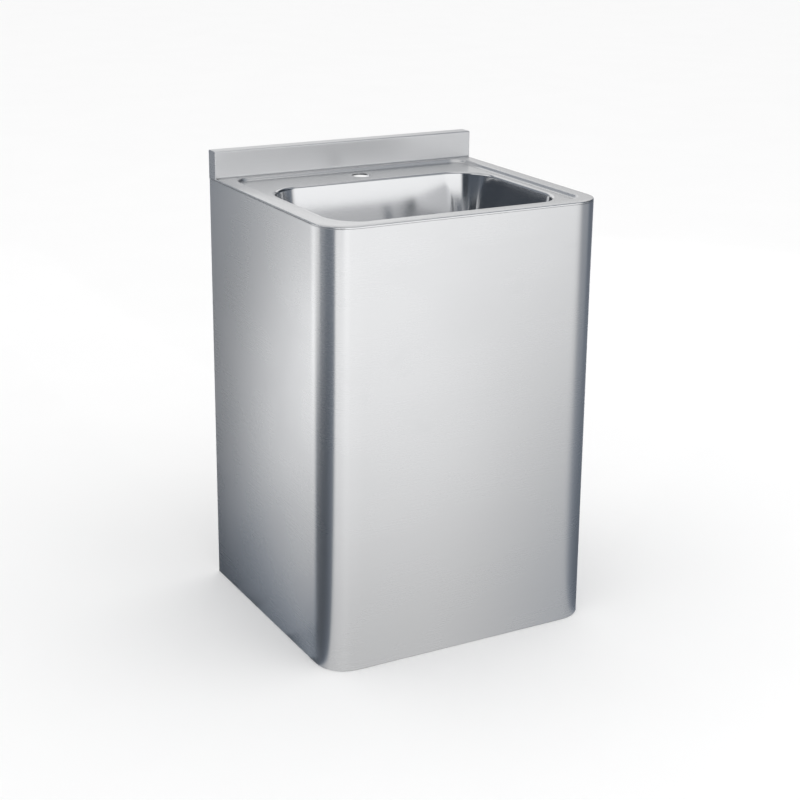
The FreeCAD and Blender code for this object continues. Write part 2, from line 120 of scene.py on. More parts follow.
def slope(points: Array, axis: int) -> Array:
    """Central differences along one parameter, carried across the seam where a grid closes on itself.

    Args:
        points: Grid of points.
        axis: Parameter to follow, 0 for rows and 1 for columns.

    Returns:
        Grid of directions.
    """
    moved = np.moveaxis(points, axis, 0)
    closes = np.allclose(moved[0], moved[-1], atol=SAME)
    before = moved[-2:-1] if closes else 2 * moved[:1] - moved[1:2]
    after = moved[1:2] if closes else 2 * moved[-1:] - moved[-2:-1]
    padded = np.concatenate([before, moved, after])
    return np.moveaxis(padded[2:] - padded[:-2], 0, axis)


@dataclass
class Surface:
    """Points on a grid of two parameters, with texture coordinates that follow the grain.

    Attributes:
        points: Rows by columns by 3.
        uv: Rows by columns by 2, in metres along and across the grain.
        keep: Which cells of the grid are there, or None for all.
    """

    points: Array
    uv: Array
    keep: Optional[npt.NDArray[np.bool_]] = None

    def normals(self) -> Array:
        """Unit normals: the cross product of the slopes along the columns and the rows."""
        return unit(np.cross(slope(self.points, 1), slope(self.points, 0)))

    def moved(self, distance: float) -> "Surface":
        """The surface shifted against its normals by a distance."""
        return Surface(self.points - distance * self.normals(), self.uv, self.keep)

    def turned_over(self) -> "Surface":
        """The same surface facing the other way."""
        keep = None if self.keep is None else self.keep[:, ::-1]
        return Surface(self.points[:, ::-1], self.uv[:, ::-1], keep)

    def shell(self, thickness: float) -> list["Surface"]:
        """A sheet: this face, its other face and strips along the open edges.

        Args:
            thickness: Thickness of the sheet, below 0 where it lies on the side of the normals.

        Returns:
            Surfaces that close the sheet.
        """
        back = self.moved(thickness)
        sheets = [self, back.turned_over()]
        if not np.allclose(self.points[0], self.points[-1], atol=SAME):
            sheets += [strip(back, self, 0), strip(self, back, -1)]
        if not np.allclose(self.points[:, 0], self.points[:, -1], atol=SAME):
            sheets += [strip(self, back, np.s_[:, 0]), strip(back, self, np.s_[:, -1])]
        return sheets


def strip(first: Surface, second: Surface, where: object) -> Surface:
    """A one-cell-wide surface between the same row or column of two surfaces.

    Args:
        first: Surface that the strip starts on.
        second: Surface that it ends on.
        where: Index of the row or column, or of a stretch of it.

    Returns:
        The strip.
    """
    points = np.stack([first.points[where], second.points[where]])
    return Surface(points, np.stack([first.uv[where], second.uv[where]]))


def cells(surface: Surface, start: int) -> tuple[Numbers, Array]:
    """Corner numbers and corner texture coordinates of a surface's cells.

    Args:
        surface: The surface.
        start: Number of its first point.

    Returns:
        Cells by 4 point numbers, and cells by 4 by 2 texture coordinates.
    """
    rows, columns = surface.points.shape[:2]
    number = start + np.arange(rows * columns).reshape(rows, columns)
    quads, uv = (np.stack([grid[:-1, :-1], grid[:-1, 1:], grid[1:, 1:], grid[1:, :-1]], axis=2)
                 for grid in (number, surface.uv))
    if surface.keep is not None:
        return quads[surface.keep], uv[surface.keep]
    return quads.reshape(-1, 4), uv.reshape(-1, 4, 2)


def signed_volume(points: Array, quads: Numbers) -> float:
    """Volume inside closed quads, by adding the tetrahedra from the origin to each half quad.

    Args:
        points: Points by 3.
        quads: Cells by 4 point numbers.

    Returns:
        The volume, below 0 where the quads face inwards.
    """
    a, b, c, d = (points[quads[:, k]] for k in range(4))
    halves = np.einsum("ij,ij->i", a, np.cross(b, c)) + np.einsum("ij,ij->i", a, np.cross(c, d))
    return float(halves.sum() / 6)


def mesh_object(name: str, surfaces: Sequence[Surface], sharp: float = 32.0,
                backs: Sequence[int] = ()) -> bpy.types.Object:
    """A mesh from surfaces: equal points are welded, faces point outwards and folds past an angle are sharp.

    Args:
        name: Name of the object and its mesh.
        surfaces: Surfaces that together close a solid.
        sharp: Angle between faces, in degrees, from which an edge is sharp.
        backs: Numbers of the surfaces that take the second material.

    Returns:
        The object, linked to the scene, at the origin.
    """
    starts = np.cumsum([0] + [s.points[..., 0].size for s in surfaces])
    parts = [cells(s, int(start)) for s, start in zip(surfaces, starts)]
    loose = np.concatenate([s.points.reshape(-1, 3) for s in surfaces])
    quads, uv = np.concatenate([p[0] for p in parts]), np.concatenate([p[1] for p in parts])
    places = np.round(loose / WELD)
    _, first, welded = np.unique(places, axis=0, return_index=True, return_inverse=True)
    points, quads = loose[first], welded.reshape(-1)[quads]
    if signed_volume(points, quads) < 0:
        quads, uv = quads[:, ::-1], uv[:, ::-1]
    fresh = quads != np.roll(quads, 1, axis=1)
    whole = fresh.sum(axis=1) >= 3
    quads, uv, fresh = quads[whole], uv[whole], fresh[whole]
    group = np.repeat(np.arange(len(parts)), [len(p[0]) for p in parts])[whole]
    faces = np.split(quads[fresh], np.cumsum(fresh.sum(axis=1))[:-1])
    mesh = bpy.data.meshes.new(name)
    mesh.from_pydata(points.tolist(), [], [face.tolist() for face in faces])
    layer = mesh.uv_layers.new(name=GRAIN_MAP)
    layer.data.foreach_set("uv", uv[fresh].astype(np.float32).ravel())
    mesh.polygons.foreach_set("material_index", np.isin(group, backs).astype(np.int32))
    mesh.shade_smooth()
    mesh.set_sharp_from_angle(angle=math.radians(sharp))
    mesh.update()
    piece = bpy.data.objects.new(name, mesh)
    bpy.context.scene.collection.objects.link(piece)
    return piece


def eased(steps: int, guard: float) -> Array:
    """Shares along a straight run, with a narrow guard cell at each end so that shading stays flat.

    Args:
        steps: Cells between the guards.
        guard: Share of the run that a guard takes.

    Returns:
        Rising shares from 0 to 1.
    """
    return np.concatenate([[0.0], np.linspace(guard, 1 - guard, steps + 1), [1.0]])


def rounded_profile(corners: Sequence[Corner], arc_steps: int = 8, run_steps: int = 1,
                    guard: float = 0.6 * MM) -> Array:
    """Open profile through corner points: straight runs joined by arcs that are tangent to both.

    Args:
        corners: Points (across, up, radius); the radius of the two ends isn't used.
        arc_steps: Cells in each arc.
        run_steps: Cells in each straight run, besides its two guards.
        guard: Length of the guard cells at the ends of a run.

    Returns:
        Points by 2.
    """
    spots = np.array([c[:2] for c in corners])
    runs, start = [], spots[0]
    for k in range(1, len(corners)):
        heading = unit(spots[k] - spots[k - 1])
        leaving, turn, reach = heading, 0.0, 0.0
        if k < len(corners) - 1:
            leaving = unit(spots[k + 1] - spots[k])
            turn = math.acos(float(np.clip(heading @ leaving, -1, 1)))
            reach = corners[k][2] * math.tan(turn / 2)
        stop = spots[k] - reach * heading
        length = float(np.linalg.norm(stop - start))
        share = min(guard / max(length, SAME), WIDEST_GUARD)
        runs.append(start + eased(run_steps, share)[:, None] * (stop - start))
        if reach > 0:
            side = unit(leaving - (leaving @ heading) * heading)
            centre = stop + corners[k][2] * side
            angle = np.linspace(0, turn, arc_steps + 1)[1:-1, None]
            runs.append(centre + corners[k][2] * (np.sin(angle) * heading - np.cos(angle) * side))
        start = spots[k] + reach * leaving
    return np.concatenate(runs)


def lengths_along(points: Array) -> Array:
    """Distance from the first point to each point along a line."""
    return np.concatenate([[0.0], np.cumsum(np.linalg.norm(np.diff(points, axis=0), axis=1))])


def raised(flat: Array, heights: Array) -> Array:
    """Rows of points in plan with each row's height added as a third coordinate."""
    tall = np.broadcast_to(heights[:, None, None], (*flat.shape[:2], 1))
    return np.concatenate([flat, tall], axis=-1)


def chart(along: Array, across: Array) -> Array:
    """Texture coordinates of a grid, from a length for each column and a length for each row."""
    return np.stack(np.broadcast_arrays(along[None, :], across[:, None]), axis=-1)


def side_to_side(points: Array) -> Array:
    """Texture coordinates of a pressing whose grain runs from side to side."""
    return np.stack([points[..., 0], points[..., 1] + points[..., 2]], axis=-1)


@dataclass
class Ring:
    """Rounded rectangles in plan, one per station: half width, front, back and two corner radii.

    Attributes:
        side: Half width of each station.
        front: Front edge of each station.
        back: Back edge of each station.
        front_radius: Radius of the front corners.
        back_radius: Radius of the back corners.
    """

    side: Array
    front: Array
    back: Array
    front_radius: Array
    back_radius: Array

    def points(self, shares: Array, arc_steps: int) -> Array:
        """Each corner is a quarter circle about its centre, and straight runs join the corners.

        Args:
            shares: Shares along each straight run, ends left out.
            arc_steps: Cells in each corner.

        Returns:
            Stations by points by 2, closed, from the front right corner round by the back.
        """
        x, y0, y1 = self.side, self.front, self.back
        rf, rb = self.front_radius, self.back_radius
        centres = [(x - rf, y0 + rf, rf), (x - rb, y1 - rb, rb), (rb - x, y1 - rb, rb), (rf - x, y0 + rf, rf)]
        turn = np.linspace(0, QUARTER, arc_steps + 1)
        arcs = []
        for k, (cx, cy, radius) in enumerate(centres):
            angle = turn + (k - 1) * QUARTER
            spoke = np.stack([np.cos(angle), np.sin(angle)], axis=-1)
            arcs.append(np.stack([cx, cy], axis=-1)[:, None] + radius[:, None, None] * spoke)
        loop = []
        for k in range(4):
            here, there = arcs[k][:, -1:], arcs[(k + 1) % 4][:, :1]
            loop += [arcs[k], here + shares[None, :, None] * (there - here)]
        return np.concatenate(loop + [arcs[0][:, :1]], axis=1)


def between(first: Sequence[float], second: Sequence[float], shares: Array) -> Array:
    """Rows of values that go evenly from one set to another."""
    return np.asarray(first) + shares[:, None] * (np.asarray(second) - np.asarray(first))


def smooth(values: Array) -> Array:
    """Soft step: 0 below 0, 1 above 1, and 3t^2 - 2t^3 between."""
    t = np.clip(values, 0, 1)
    return t * t * (3 - 2 * t)


def ramp(values: Array, start: object, stop: object) -> Array:
    """Soft step from 0 at one value to 1 at another, which may be the lower one."""
    return smooth((values - start) / (stop - start))


# Shader groups and finishes

FLOAT, VECTOR = "NodeSocketFloat", "NodeSocketVector"
# Full haze darkens and roughens steel by STEEL_HAZE, and roughens soft materials by SOFT_HAZE.
STEEL_HAZE = 0.06
SOFT_HAZE = 0.15
# Turn of the gloss, as a share of a full one, that spreads it across the grain.
ACROSS_GRAIN = 0.25


class Nodes:
    """Places and joins shader nodes in one tree."""

    def __init__(self, tree: bpy.types.NodeTree) -> None:
        """Keeps the tree."""
        self.tree = tree

    def feed(self, node: bpy.types.Node, inputs: Inputs) -> None:
        """Joins sockets to a node's inputs, or sets plain values on them.

        Args:
            node: The node.
            inputs: Sockets or plain values, by the name or number of the input.
        """
        for name, value in inputs.items():
            if isinstance(value, Socket):
                self.tree.links.new(value, node.inputs[name])
            else:
                node.inputs[name].default_value = value

    def add(self, kind: str, inputs: Optional[Inputs] = None, **settings: object) -> bpy.types.Node:
        """Places a node, sets its properties and feeds its inputs.

        Args:
            kind: Blender's name of the node.
            inputs: Sockets or plain values for its inputs.
            **settings: Properties of the node.

        Returns:
            The node.
        """
        node = self.tree.nodes.new(kind)
        for name, value in settings.items():
            setattr(node, name, value)
        self.feed(node, inputs or {})
        return node

    def maths(self, operation: str, *values: object) -> Socket:
        """A sum, product or other operation on sockets or numbers."""
        return self.add("ShaderNodeMath", dict(enumerate(values)), operation=operation).outputs[0]

    def mix(self, share: object, first: Colour, second: object, blend: str = "MIX") -> Socket:
        """A colour mixed with or multiplied by another.

        Args:
            share: Socket or number that says how much of the second shows.
            first: First colour.
            second: Second colour, or a socket.
            blend: Blender's name of the way to blend.

        Returns:
            The result's socket.
        """
        over = second if isinstance(second, Socket) else (*second, 1.0)
        inputs = {0: share, 6: (*first, 1.0), 7: over}
        return self.add("ShaderNodeMix", inputs, data_type="RGBA", blend_type=blend).outputs[2]

    def noise(self, vector: Socket, scale: float, detail: float, roughness: float = 0.5) -> Socket:
        """Cloudy noise read at a vector.

        Args:
            vector: Where to read it.
            scale: Clouds per unit.
            detail: Number of finer layers.
            roughness: Share that each finer layer keeps.

        Returns:
            The noise's value, about 0.5.
        """
        inputs = {"Vector": vector, "Scale": scale, "Detail": detail, "Roughness": roughness}
        return self.add("ShaderNodeTexNoise", inputs).outputs["Fac"]

    def stretched(self, vector: Socket, scale: Colour) -> Socket:
        """A vector with each axis multiplied."""
        inputs = {"Vector": vector, "Scale": scale}
        return self.add("ShaderNodeMapping", inputs, vector_type="POINT").outputs["Vector"]

    def spread(self, value: Socket, low: float, high: float, to_low: float, to_high: float) -> Socket:
        """A value moved from one range to another, softly and without leaving it.

        Args:
            value: The value.
            low: Start of its range.
            high: End of its range.
            to_low: Start of the new range.
            to_high: End of the new range.

        Returns:
            The new value.
        """
        inputs = {"Value": value, "From Min": low, "From Max": high, "To Min": to_low, "To Max": to_high}
        return self.add("ShaderNodeMapRange", inputs, interpolation_type="SMOOTHSTEP").outputs["Result"]


def new_group(name: str, inputs: dict[str, str],
              outputs: dict[str, str]) -> tuple[Nodes, bpy.types.Node, bpy.types.Node]:
    """A shader group with named sockets.

    Args:
        name: Name of the group.
        inputs: Socket types by name.
        outputs: Socket types by name.

    Returns:
        A helper for its nodes, its input node and its output node.
    """
    tree = bpy.data.node_groups.new(name, "ShaderNodeTree")
    for side, sockets in (("INPUT", inputs), ("OUTPUT", outputs)):
        for label, kind in sockets.items():
            tree.interface.new_socket(label, in_out=side, socket_type=kind)
    nodes = Nodes(tree)
    return nodes, nodes.add("NodeGroupInput"), nodes.add("NodeGroupOutput")


def brush_group() -> bpy.types.NodeTree:
    """Brushed grain: noise drawn out along the first axis, in a coarse and a fine layer.

    Returns:
        Group with Vector, Along and Across in, and Grain (0 to 1) and Height out.
    """
    nodes, entry, end = new_group("brush_grain", {"Vector": VECTOR, "Along": FLOAT, "Across": FLOAT},
                                  {"Grain": FLOAT, "Height": FLOAT})
    parts = nodes.add("ShaderNodeSeparateXYZ", {0: entry.outputs["Vector"]})
    rates = {k: nodes.maths("MULTIPLY", parts.outputs[k], entry.outputs[rate])
             for k, rate in enumerate(("Along", "Across", "Across"))}
    drawn = nodes.add("ShaderNodeCombineXYZ", rates).outputs[0]
    fine_share, coarser = 0.75, (0.35, 0.16, 0.16)
    fine = nodes.noise(drawn, 1.0, detail=3.0, roughness=0.65)
    coarse = nodes.noise(nodes.stretched(drawn, coarser), 1.0, detail=2.0)
    both = nodes.maths("ADD", nodes.maths("MULTIPLY", fine, fine_share),
                       nodes.maths("MULTIPLY", coarse, 1 - fine_share))
    nodes.feed(end, {"Grain": nodes.spread(both, 0.3, 0.7, 0.0, 1.0), "Height": both})
    return nodes.tree


def handling_group() -> bpy.types.NodeTree:
    """Traces of handling: broad wiped clouds and a few soft smudges.

    Returns:
        Group with Vector and Amount in, and Haze (0 to 1) out.
    """
    nodes, entry, end = new_group("handling", {"Vector": VECTOR, "Amount": FLOAT}, {"Haze": FLOAT})
    cloud_scale, smudge_scale = (4.0, 7.0, 7.0), (9.0, 22.0, 22.0)
    clouds = nodes.noise(nodes.stretched(entry.outputs["Vector"], cloud_scale), 1.0, detail=3.0)
    smudges = nodes.noise(nodes.stretched(entry.outputs["Vector"], smudge_scale), 1.0, detail=4.0,
                          roughness=0.6)
    both = nodes.maths("ADD", nodes.spread(clouds, 0.35, 0.75, 0.0, 0.7),
                       nodes.spread(smudges, 0.6, 0.78, 0.0, 0.5))
    nodes.feed(end, {"Haze": nodes.maths("MULTIPLY", both, entry.outputs["Amount"])})
    return nodes.tree


class Effects:
    """Shared shader groups, built once."""

    def __init__(self) -> None:
        """Builds the groups."""
        self.brush = brush_group()
        self.handling = handling_group()


def new_material(name: str) -> tuple[bpy.types.Material, Nodes, bpy.types.Node]:
    """A new material with its Principled shader.

    Args:
        name: Name of the material.

    Returns:
        The material, a helper for its nodes and the shader.
    """
    material = bpy.data.materials.new(name)
    material.use_nodes = True
    return material, Nodes(material.node_tree), material.node_tree.nodes["Principled BSDF"]


@dataclass(frozen=True)
class Finish:
    """What every finish has: a name and the record's slot."""

    name: str
    slot: Slot

    def material(self, effects: Effects) -> bpy.types.Material:
        """Builds the material."""
        raise NotImplementedError


@dataclass(frozen=True)
class SteelFinish(Finish):
    """Stainless sheet with a drawn grain.

    Attributes:
        colour: Colour of the metal.
        roughness: Middle roughness.
        roughness_swing: How much the grain changes the roughness.
        tone_swing: How much the grain changes the colour.
        anisotropy: How far the gloss spreads across the grain.
        along: Grain marks per metre along the grain.
        across: Grain marks per metre across it.
        relief: Depth of the grain.
        haze: Strength of handling traces.
        mapped: True where the piece has a grain map, False where the grain runs along X.
    """

    colour: Colour = (0.662, 0.666, 0.674)
    roughness: float = 0.27
    roughness_swing: float = 0.007
    tone_swing: float = 0.012
    anisotropy: float = 0.8
    along: float = 9.0
    across: float = 1500.0
    relief: float = 0.003 * MM
    haze: float = 0.5
    mapped: bool = True

    def material(self, effects: Effects) -> bpy.types.Material:
        """Metal whose roughness, tone and relief follow the brushed grain, with faint handling haze.

        Args:
            effects: Shared groups.

        Returns:
            The material.
        """
        material, nodes, shader = new_material(self.name)
        place = nodes.add("ShaderNodeTexCoord").outputs["Object"]
        vector = place
        if self.mapped:
            vector = nodes.add("ShaderNodeUVMap", uv_map=GRAIN_MAP).outputs["UV"]
            tangent = nodes.add("ShaderNodeTangent", direction_type="UV_MAP", uv_map=GRAIN_MAP)
            nodes.feed(shader, {"Tangent": tangent.outputs[0]})
        marks = {"Vector": vector, "Along": self.along, "Across": self.across}
        brush = nodes.add("ShaderNodeGroup", marks, node_tree=effects.brush)
        traces = {"Vector": place, "Amount": self.haze}
        haze = nodes.add("ShaderNodeGroup", traces, node_tree=effects.handling).outputs["Haze"]
        grain = nodes.spread(brush.outputs["Grain"], 0.0, 1.0, -0.5, 0.5)
        rough = nodes.maths("MULTIPLY_ADD", grain, self.roughness_swing, self.roughness)
        tone = nodes.maths("MULTIPLY_ADD", grain, self.tone_swing, 1.0)
        dulled = nodes.maths("MULTIPLY_ADD", haze, -STEEL_HAZE, tone)
        bump = nodes.add("ShaderNodeBump", {"Distance": self.relief, "Height": brush.outputs["Height"]})
        nodes.feed(shader, {
            "Base Color": nodes.mix(1.0, self.colour, dulled, "MULTIPLY"),
            "Roughness": nodes.maths("MULTIPLY_ADD", haze, STEEL_HAZE, rough),
            "Normal": bump.outputs[0],
            "Metallic": 1.0,
            "Anisotropic": self.anisotropy,
            "Anisotropic Rotation": ACROSS_GRAIN,
        })
        return material


@dataclass(frozen=True)
class SoftFinish(Finish):
    """Moulded plastic or rubber.

    Attributes:
        colour: Colour of the material.
        roughness: Middle roughness.
        mottle: How much the colour varies.
        clouds: Clouds of colour per metre.
        pores: Marks per metre in the moulded skin.
        relief: Depth of those marks.
        haze: Strength of handling traces and dust.
    """

    colour: Colour = (0.8, 0.8, 0.78)
    roughness: float = 0.4
    mottle: float = 0.05
    clouds: float = 35.0
    pores: float = 900.0
    relief: float = 0.03 * MM
    haze: float = 0.6

    def material(self, effects: Effects) -> bpy.types.Material:
        """Skin with fine pores, a faint mottle and handling haze.

        Args:
            effects: Shared groups.

        Returns:
            The material.
        """
        material, nodes, shader = new_material(self.name)
        place = nodes.add("ShaderNodeTexCoord").outputs["Object"]
        traces = {"Vector": place, "Amount": self.haze}
        haze = nodes.add("ShaderNodeGroup", traces, node_tree=effects.handling).outputs["Haze"]
        clouds = nodes.noise(place, self.clouds, detail=3.0)
        tone = nodes.spread(clouds, 0.3, 0.7, 1.0 - self.mottle, 1.0 + self.mottle)
        pores = nodes.noise(place, self.pores, detail=3.0)
        bump = nodes.add("ShaderNodeBump", {"Distance": self.relief, "Height": pores})
        nodes.feed(shader, {
            "Base Color": nodes.mix(1.0, self.colour, tone, "MULTIPLY"),
            "Roughness": nodes.maths("MULTIPLY_ADD", haze, SOFT_HAZE, self.roughness),
            "Normal": bump.outputs[0],
        })
        return material


SATIN = SteelFinish("satin_sheet", Slot.SATIN)
SATIN_BACK = SteelFinish("satin_back", Slot.SATIN, roughness=0.38, anisotropy=0.6)
SATIN_PLAIN = SteelFinish("satin_bar", Slot.SATIN, roughness=0.36, anisotropy=0.3, mapped=False)
DECK = SteelFinish("satin_deck", Slot.SATIN, roughness=0.25, anisotropy=0.5)
MIRROR = SteelFinish("polished_bowl", Slot.POLISHED, colour=(0.62, 0.625, 0.635), roughness=0.13,
                     roughness_swing=0.02, tone_swing=0.02, anisotropy=0.4, across=2600.0,
                     relief=0.002 * MM, haze=0.3)
MILL = SteelFinish("mill_underside", Slot.POLISHED, colour=(0.52, 0.525, 0.53), roughness=0.42,
                   anisotropy=0.2, across=900.0, relief=0.01 * MM, haze=0.8)
BRIGHT = SteelFinish("polished_fitting", Slot.POLISHED, colour=(0.72, 0.725, 0.735), roughness=0.12,
                     roughness_swing=0.03, tone_swing=0.02, anisotropy=0.2, relief=0.004 * MM, mapped=False)
FIXING = SteelFinish("fixing_steel", Slot.FIXING, colour=(0.58, 0.58, 0.58), roughness=0.34,
                     anisotropy=0.2, along=300.0, across=900.0, mapped=False)
PLASTIC = SoftFinish("trap_plastic", Slot.PLASTIC, colour=(0.82, 0.82, 0.80), roughness=0.33)
SEAL = SoftFinish("seal_rubber", Slot.SEAL, colour=(0.03, 0.03, 0.032), roughness=0.7, mottle=0.2)
PAD = SoftFinish("pad_rubber", Slot.PAD, colour=(0.05, 0.05, 0.052), roughness=0.8, mottle=0.25,
                 pores=400.0, relief=0.2 * MM)


class Workshop:
    """Makes pieces: keeps the shared effects and finished materials, and puts pieces on their bodies."""

    def __init__(self) -> None:
        """Builds the shared effects."""
        self.effects = Effects()
        self.ready: dict[str, bpy.types.Material] = {}

    def finish(self, finish: Finish) -> bpy.types.Material:
        """The material of a finish, built once.

        Args:
            finish: The finish.

        Returns:
            The material.
        """
        if finish.name not in self.ready:
            self.ready[finish.name] = finish.material(self.effects)
        return self.ready[finish.name]

    def piece(self, name: str, surfaces: Sequence[Surface], finish: Finish, nodes: Sequence[str],
              body: Body = Body.BASIN, backing: Optional[Finish] = None) -> bpy.types.Object:
        """Makes a piece that stands for CAD nodes.

        Args:
            name: Name of the piece.
            surfaces: Surfaces that close it.
            finish: Its finish.
            nodes: CAD nodes that it stands for.
            body: Body that it rides on.
            backing: Finish of its second surface, or None for the same all over.

        Returns:
            The piece.
        """
        piece = mesh_object(name, surfaces, backs=() if backing is None else (1,))
        for coat in (finish,) if backing is None else (finish, backing):
            piece.data.materials.append(self.finish(coat))
        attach(piece, body.value)
        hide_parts(*nodes)
        log.info("%s: %d faces on %s", name, len(piece.data.polygons), body.value)
        return piece

    def dress(self, finish: Finish, *nodes: str) -> None:
        """Gives CAD nodes a finish.

        Args:
            finish: The finish.
            *nodes: Names of the nodes.
        """
        for name in nodes:
            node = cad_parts[name]
            node.data.materials.clear()
            node.data.materials.append(self.finish(finish))
            log.info("%s: dressed in %s", name, finish.name)


# Sub-assemblies


@dataclass(frozen=True)
class BasinSizes:
    """Sizes that several pieces share, read from the frame.

    Attributes:
        half_width: Half the outer width.
        half_depth: Half the outer depth.
        corner_radius: Outer radius of the upright front corners.
        sheet: Thickness of the sheet.
        rim: Height of the rim.
        deck: Height of the recessed deck.
        skirt_drop: Distance from the rim down to the end of the top's turned-down edge.
        shoulder_drop: Distance from the rim down to the shroud's outer face.
        skirt: Lower edge of the top's turned-down edge.
        shoulder: Upper edge of the shroud's outer face.
        lap: Height of the shroud's rim flange.
        splash_front: Front face of the splashback.
    """

    half_width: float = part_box("shroud")[1].x
    half_depth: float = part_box("shroud")[1].y
    corner_radius: float = 57 * MM
    sheet: float = 1.5 * MM
    rim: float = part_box("basin_top")[1].z
    deck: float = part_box("bowl")[1].z
    skirt_drop: float = 4.0 * MM
    shoulder_drop: float = 4.5 * MM
    skirt: float = rim - skirt_drop
    shoulder: float = rim - shoulder_drop
    lap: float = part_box("shroud")[1].z
    splash_front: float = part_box("splashback_end_left")[0].y - sheet


